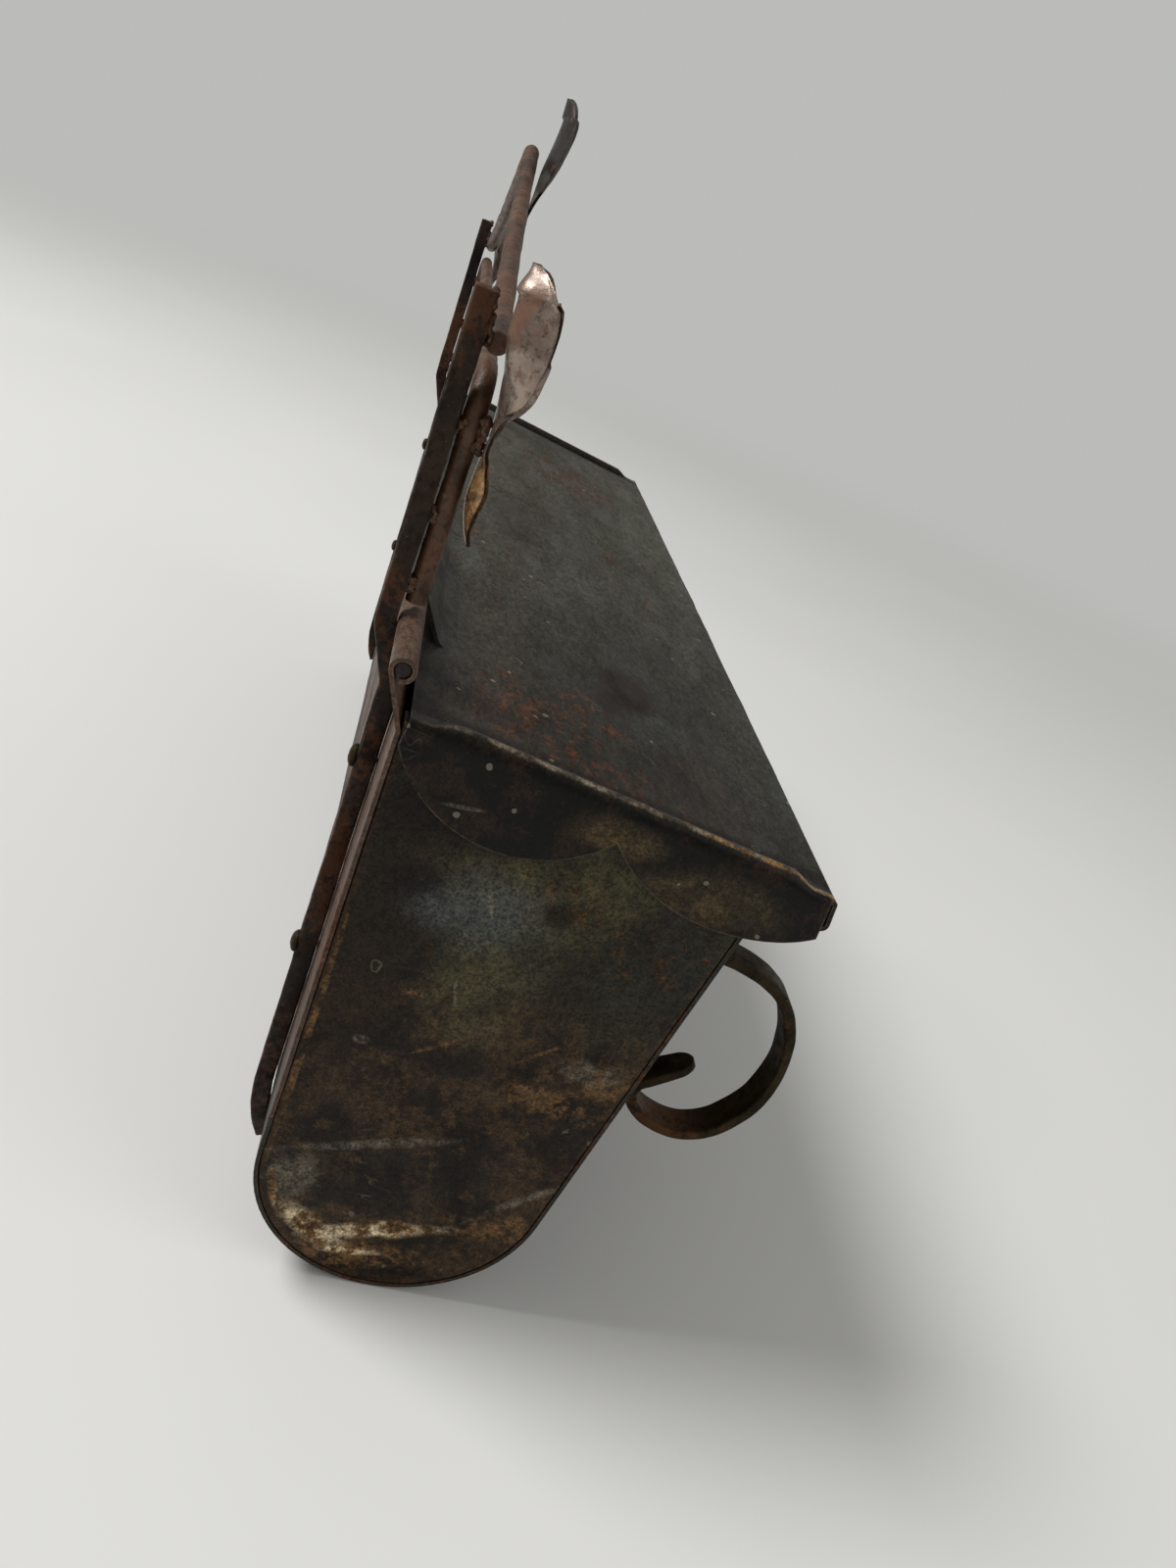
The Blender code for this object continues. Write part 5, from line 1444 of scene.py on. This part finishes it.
def set_weld(name, points, size, spread, amount, seed, material):
    mesh = grow(name, tree_of("blob"), points, [], Size=size, Spread=spread, Amount=amount, Seed=seed,
                Grain=WELD_GRAIN, Material=material)
    keep_mesh(name, mesh, "box", (), 50)


def make_welds(material):
    """Weld metal at the feet of the rods, on the posts' tops, under the leaves and at the arch's peak."""
    points = []
    leg = POST_X - SCROLL_OFFSET
    for side in (-1, 1):
        for x, reach, height in (
                (leg + 0.0010, 0.0056, HINGE[1] + SCROLL_FOOT_RISE + 0.0040),
                (leg + 0.0014, 0.0054, HINGE[1] + SCROLL_FOOT_RISE + 0.0200),
                (leg + 0.0010, 0.0056, POST_TOP - SCROLL_TOP_DROP - 0.0100),
                (POST_X - 0.0008, 0.0052, POST_TOP - ARCH_FOOT_DROP + 0.0006),
                (POST_X - 0.0004, 0.0046, POST_TOP - ARCH_FOOT_DROP + 0.0038),
                (POST_X, 0.0040, POST_TOP - 0.0014),
                (POST_X, 0.0100, POST_TOP - SIDE_LEAF_DROP + 0.0210),
                (POST_X, 0.0100, POST_TOP - SIDE_LEAF_DROP + 0.0250)):
            points.append((side * x, -reach, height))
    set_weld("post_welds", points, 0.0009, 0.0017, 22, 4, material)
    points = [(0.0, -ROD_REACH - 0.001, POST_TOP + ARCH_PEAK_RISE - 0.0035), (0.0, -ROD_REACH, 0.0085)]
    set_weld("crest_welds", points, 0.0010, 0.0016, 18, 9, material)


def make_pin(material):
    end = BODY_LENGTH / 2 - 0.0002
    body = bmesh.new()
    add_sweep(body, spaced([(-end + 0.0003, -HINGE[0], HINGE[1]), (end - 0.0003, -HINGE[0], HINGE[1])], 0.02),
              round_section(PIN_RADIUS), 0.0003)
    return keep("pin_dressed", body, material, "box", ("hinge_pin",), 50)


# Stage


CAMERA_PLACE = (-0.421, 0.00384, 0.0589)
CAMERA_RIGHT = (-0.07593, -0.934116, 0.348788)
CAMERA_UP = (0.46002, 0.277527, 0.843421)
CAMERA_AHEAD = (0.88465, -0.224491, -0.408643)
BACKDROP_TONE = (0.500, 0.505, 0.485)
FLOOR_HALF = 6.0
FLOOR_GAP = 0.0004


def make_camera():
    data = bpy.data.cameras.new("photo_camera")
    data.lens = 27.0
    data.sensor_fit = "VERTICAL"
    data.sensor_height = 36.0
    data.clip_start = 0.01
    data.clip_end = 50.0
    turn = Matrix((CAMERA_RIGHT, CAMERA_UP, [-v for v in CAMERA_AHEAD])).transposed().to_4x4()
    thing = bpy.data.objects.new("photo_camera", data)
    thing.matrix_world = Matrix.Translation(CAMERA_PLACE) @ turn
    bpy.context.scene.collection.objects.link(thing)
    bpy.context.scene.camera = thing


def make_light(name, place, aim, size, power, tint):
    data = bpy.data.lights.new(name, "AREA")
    data.shape = "DISK"
    data.size = size
    data.energy = power
    data.color = tint
    thing = bpy.data.objects.new(name, data)
    way = Vector(aim) - Vector(place)
    thing.matrix_world = Matrix.Translation(place) @ way.to_track_quat("-Z", "Y").to_matrix().to_4x4()
    bpy.context.scene.collection.objects.link(thing)


def make_stage():
    low = CAD_BOX[0][2]
    mesh = bpy.data.meshes.new("floor")
    corners = [(FLOOR_HALF * x, FLOOR_HALF * y) for x, y in ((-1, -1), (1, -1), (1, 1), (-1, 1))]
    mesh.from_pydata([(x, y, low - FLOOR_GAP) for x, y in corners], [], [(0, 1, 2, 3)])
    floor = bpy.data.objects.new("floor", mesh)
    bpy.context.scene.collection.objects.link(floor)
    material, g, shader, place = open_material("floor_paper")
    tone = g.mix(g.ramp(g.noise(place, 1.2, 3.0), 0.35, 0.65), (0.77, 0.775, 0.765), (0.81, 0.815, 0.805))
    g.tree.links.new(tone, shader.inputs["Base Color"])
    shader.inputs["Roughness"].default_value = 0.85
    shader.inputs["Specular IOR Level"].default_value = 0.2
    glow = g.node("ShaderNodeEmission", {"Color": BACKDROP_TONE})
    far = g.vector("LENGTH", place)
    seen = g.node("ShaderNodeLightPath").outputs["Is Camera Ray"]
    blend = g.times(seen, g.ramp(far, 0.55, 2.2))
    both = g.node("ShaderNodeMixShader", {0: blend, 1: shader.outputs[0], 2: glow.outputs[0]})
    g.tree.links.new(both.outputs[0], g.tree.nodes["Material Output"].inputs["Surface"])
    mesh.materials.append(material)
    world = bpy.data.worlds.new("soft_room")
    bpy.context.scene.world = world
    world.use_nodes = True
    w = Graph(world.node_tree)
    back = world.node_tree.nodes["Background"]
    path = w.node("ShaderNodeLightPath")
    seen = w.math("MAXIMUM", path.outputs["Is Camera Ray"], path.outputs["Is Transmission Ray"])
    w.tree.links.new(w.mix(seen, (0.31, 0.305, 0.290), BACKDROP_TONE), back.inputs["Color"])
    back.inputs["Strength"].default_value = 1.0
    make_light("key_light", (0.10, 1.30, 1.65), (0.0, -0.05, -0.05), 0.9, 38.0, (1.0, 0.99, 0.97))
    make_light("fill_light", (-0.9, -1.5, 0.9), (0.0, -0.05, -0.08), 1.6, 5.0, (0.97, 0.985, 1.0))


# Operators and panel


class MailboxPiece:
    """What every operator here shares: it builds, and an error in it stops the script."""
    bl_options = {"REGISTER", "UNDO"}

    def execute(self, context):
        if not FINISHES:
            make_finishes()
        self.build(context.scene.mailbox_sizes)
        return {"FINISHED"}


class MAILBOX_OT_lid(MailboxPiece, bpy.types.Operator):
    """Builds the lid with its ridges, scalloped skirts, curled lip and rolled knuckle"""
    bl_idname = "mailbox.lid"
    bl_label = "Lid"

    def build(self, sizes):
        make_lid(sizes, FINISHES["lid"])


class MAILBOX_OT_box(MailboxPiece, bpy.types.Operator):
    """Builds the pocket, the back with its end knuckles and the hinge pin"""
    bl_idname = "mailbox.box"
    bl_label = "Box"

    def build(self, sizes):
        make_pocket(sizes, FINISHES["pocket"])
        make_back(sizes, FINISHES["back"])
        make_pin(FINISHES["pin"])


class MAILBOX_OT_ends(MailboxPiece, bpy.types.Operator):
    """Builds the two end plates with their flanges"""
    bl_idname = "mailbox.ends"
    bl_label = "Ends"

    def build(self, sizes):
        for side, word in SIDES:
            make_end_plate(side, word, sizes, FINISHES["plate"])


class MAILBOX_OT_posts(MailboxPiece, bpy.types.Operator):
    """Builds the two square posts"""
    bl_idname = "mailbox.posts"
    bl_label = "Posts"

    def build(self, sizes):
        for side, word in SIDES:
            make_post(side, word, sizes, FINISHES["post"])


class MAILBOX_OT_crest(MailboxPiece, bpy.types.Operator):
    """Builds the arch and the two scrolls of round rod"""
    bl_idname = "mailbox.crest"
    bl_label = "Crest rods"

    def build(self, sizes):
        make_rod("arch_dressed", arch_line(), sizes, FINISHES["rod"], "crest_arch")
        for side, word in SIDES:
            make_rod(f"{word}_scroll_dressed", scroll_line(side), sizes, FINISHES["rod"], f"{word}_scroll")


class MAILBOX_OT_leaves(MailboxPiece, bpy.types.Operator):
    """Builds the three sheet leaves"""
    bl_idname = "mailbox.leaves"
    bl_label = "Leaves"

    def build(self, sizes):
        make_leaf("left", -POST_X, POST_TOP - SIDE_LEAF_DROP, 0.4, FINISHES["leaf"])
        make_leaf("right", POST_X, POST_TOP - SIDE_LEAF_DROP, 1.7, FINISHES["leaf"], 1)
        make_leaf("crest", 0.0, POST_TOP - CREST_LEAF_DROP, 3.1, FINISHES["crest_leaf"], 1, 0.0,
                  CREST_LEAF_LEAN, 0.55)


class MAILBOX_OT_hooks(MailboxPiece, bpy.types.Operator):
    """Builds the two hooks of flat strap"""
    bl_idname = "mailbox.hooks"
    bl_label = "Hooks"

    def build(self, sizes):
        for side, word in SIDES:
            make_hook(side, word, sizes, FINISHES["hook"])


class MAILBOX_OT_fastenings(MailboxPiece, bpy.types.Operator):
    """Builds the rivets and the weld metal"""
    bl_idname = "mailbox.fastenings"
    bl_label = "Rivets and welds"

    def build(self, sizes):
        make_rivets(sizes, FINISHES["hook"])
        make_welds(FINISHES["rod"])


class MAILBOX_OT_stage(MailboxPiece, bpy.types.Operator):
    """Builds the floor, the lights, the sky and the camera"""
    bl_idname = "mailbox.stage"
    bl_label = "Stage"

    def build(self, sizes):
        make_camera()
        make_stage()


OPERATORS = (MAILBOX_OT_lid, MAILBOX_OT_box, MAILBOX_OT_ends, MAILBOX_OT_posts, MAILBOX_OT_crest, MAILBOX_OT_leaves,
             MAILBOX_OT_hooks, MAILBOX_OT_fastenings, MAILBOX_OT_stage)


class MAILBOX_PT_panel(bpy.types.Panel):
    """Sidebar list of the mailbox's pieces, sizes and colours"""
    bl_label = "Wall mailbox"
    bl_idname = "MAILBOX_PT_panel"
    bl_space_type = "VIEW_3D"
    bl_region_type = "UI"
    bl_category = "Mailbox"

    def draw(self, context):
        column = self.layout.column(align=True)
        for operator in OPERATORS:
            column.operator(operator.bl_idname)
        for group in (context.scene.mailbox_sizes, context.scene.mailbox_finish):
            part = self.layout.column(align=True)
            for name in group.__annotations__:
                part.prop(group, name)


CLASSES = (MAILBOX_PG_sizes, MAILBOX_PG_finish) + OPERATORS + (MAILBOX_PT_panel,)


def register():
    for made in CLASSES:
        bpy.utils.register_class(made)
    bpy.types.Scene.mailbox_sizes = bpy.props.PointerProperty(type=MAILBOX_PG_sizes)
    bpy.types.Scene.mailbox_finish = bpy.props.PointerProperty(type=MAILBOX_PG_finish)


def unregister():
    del bpy.types.Scene.mailbox_finish
    del bpy.types.Scene.mailbox_sizes
    for made in reversed(CLASSES):
        bpy.utils.unregister_class(made)


def plain(box):
    return [[float(v) for v in corner] for corner in box]


def main():
    register()
    bpy.context.scene.view_settings.view_transform = "Standard"
    for name in ("lid", "box", "ends", "posts", "crest", "leaves", "hooks", "fastenings", "stage"):
        getattr(bpy.ops.mailbox, name)()
    bpy.context.view_layer.update()


if __name__ == "__main__":
    main()
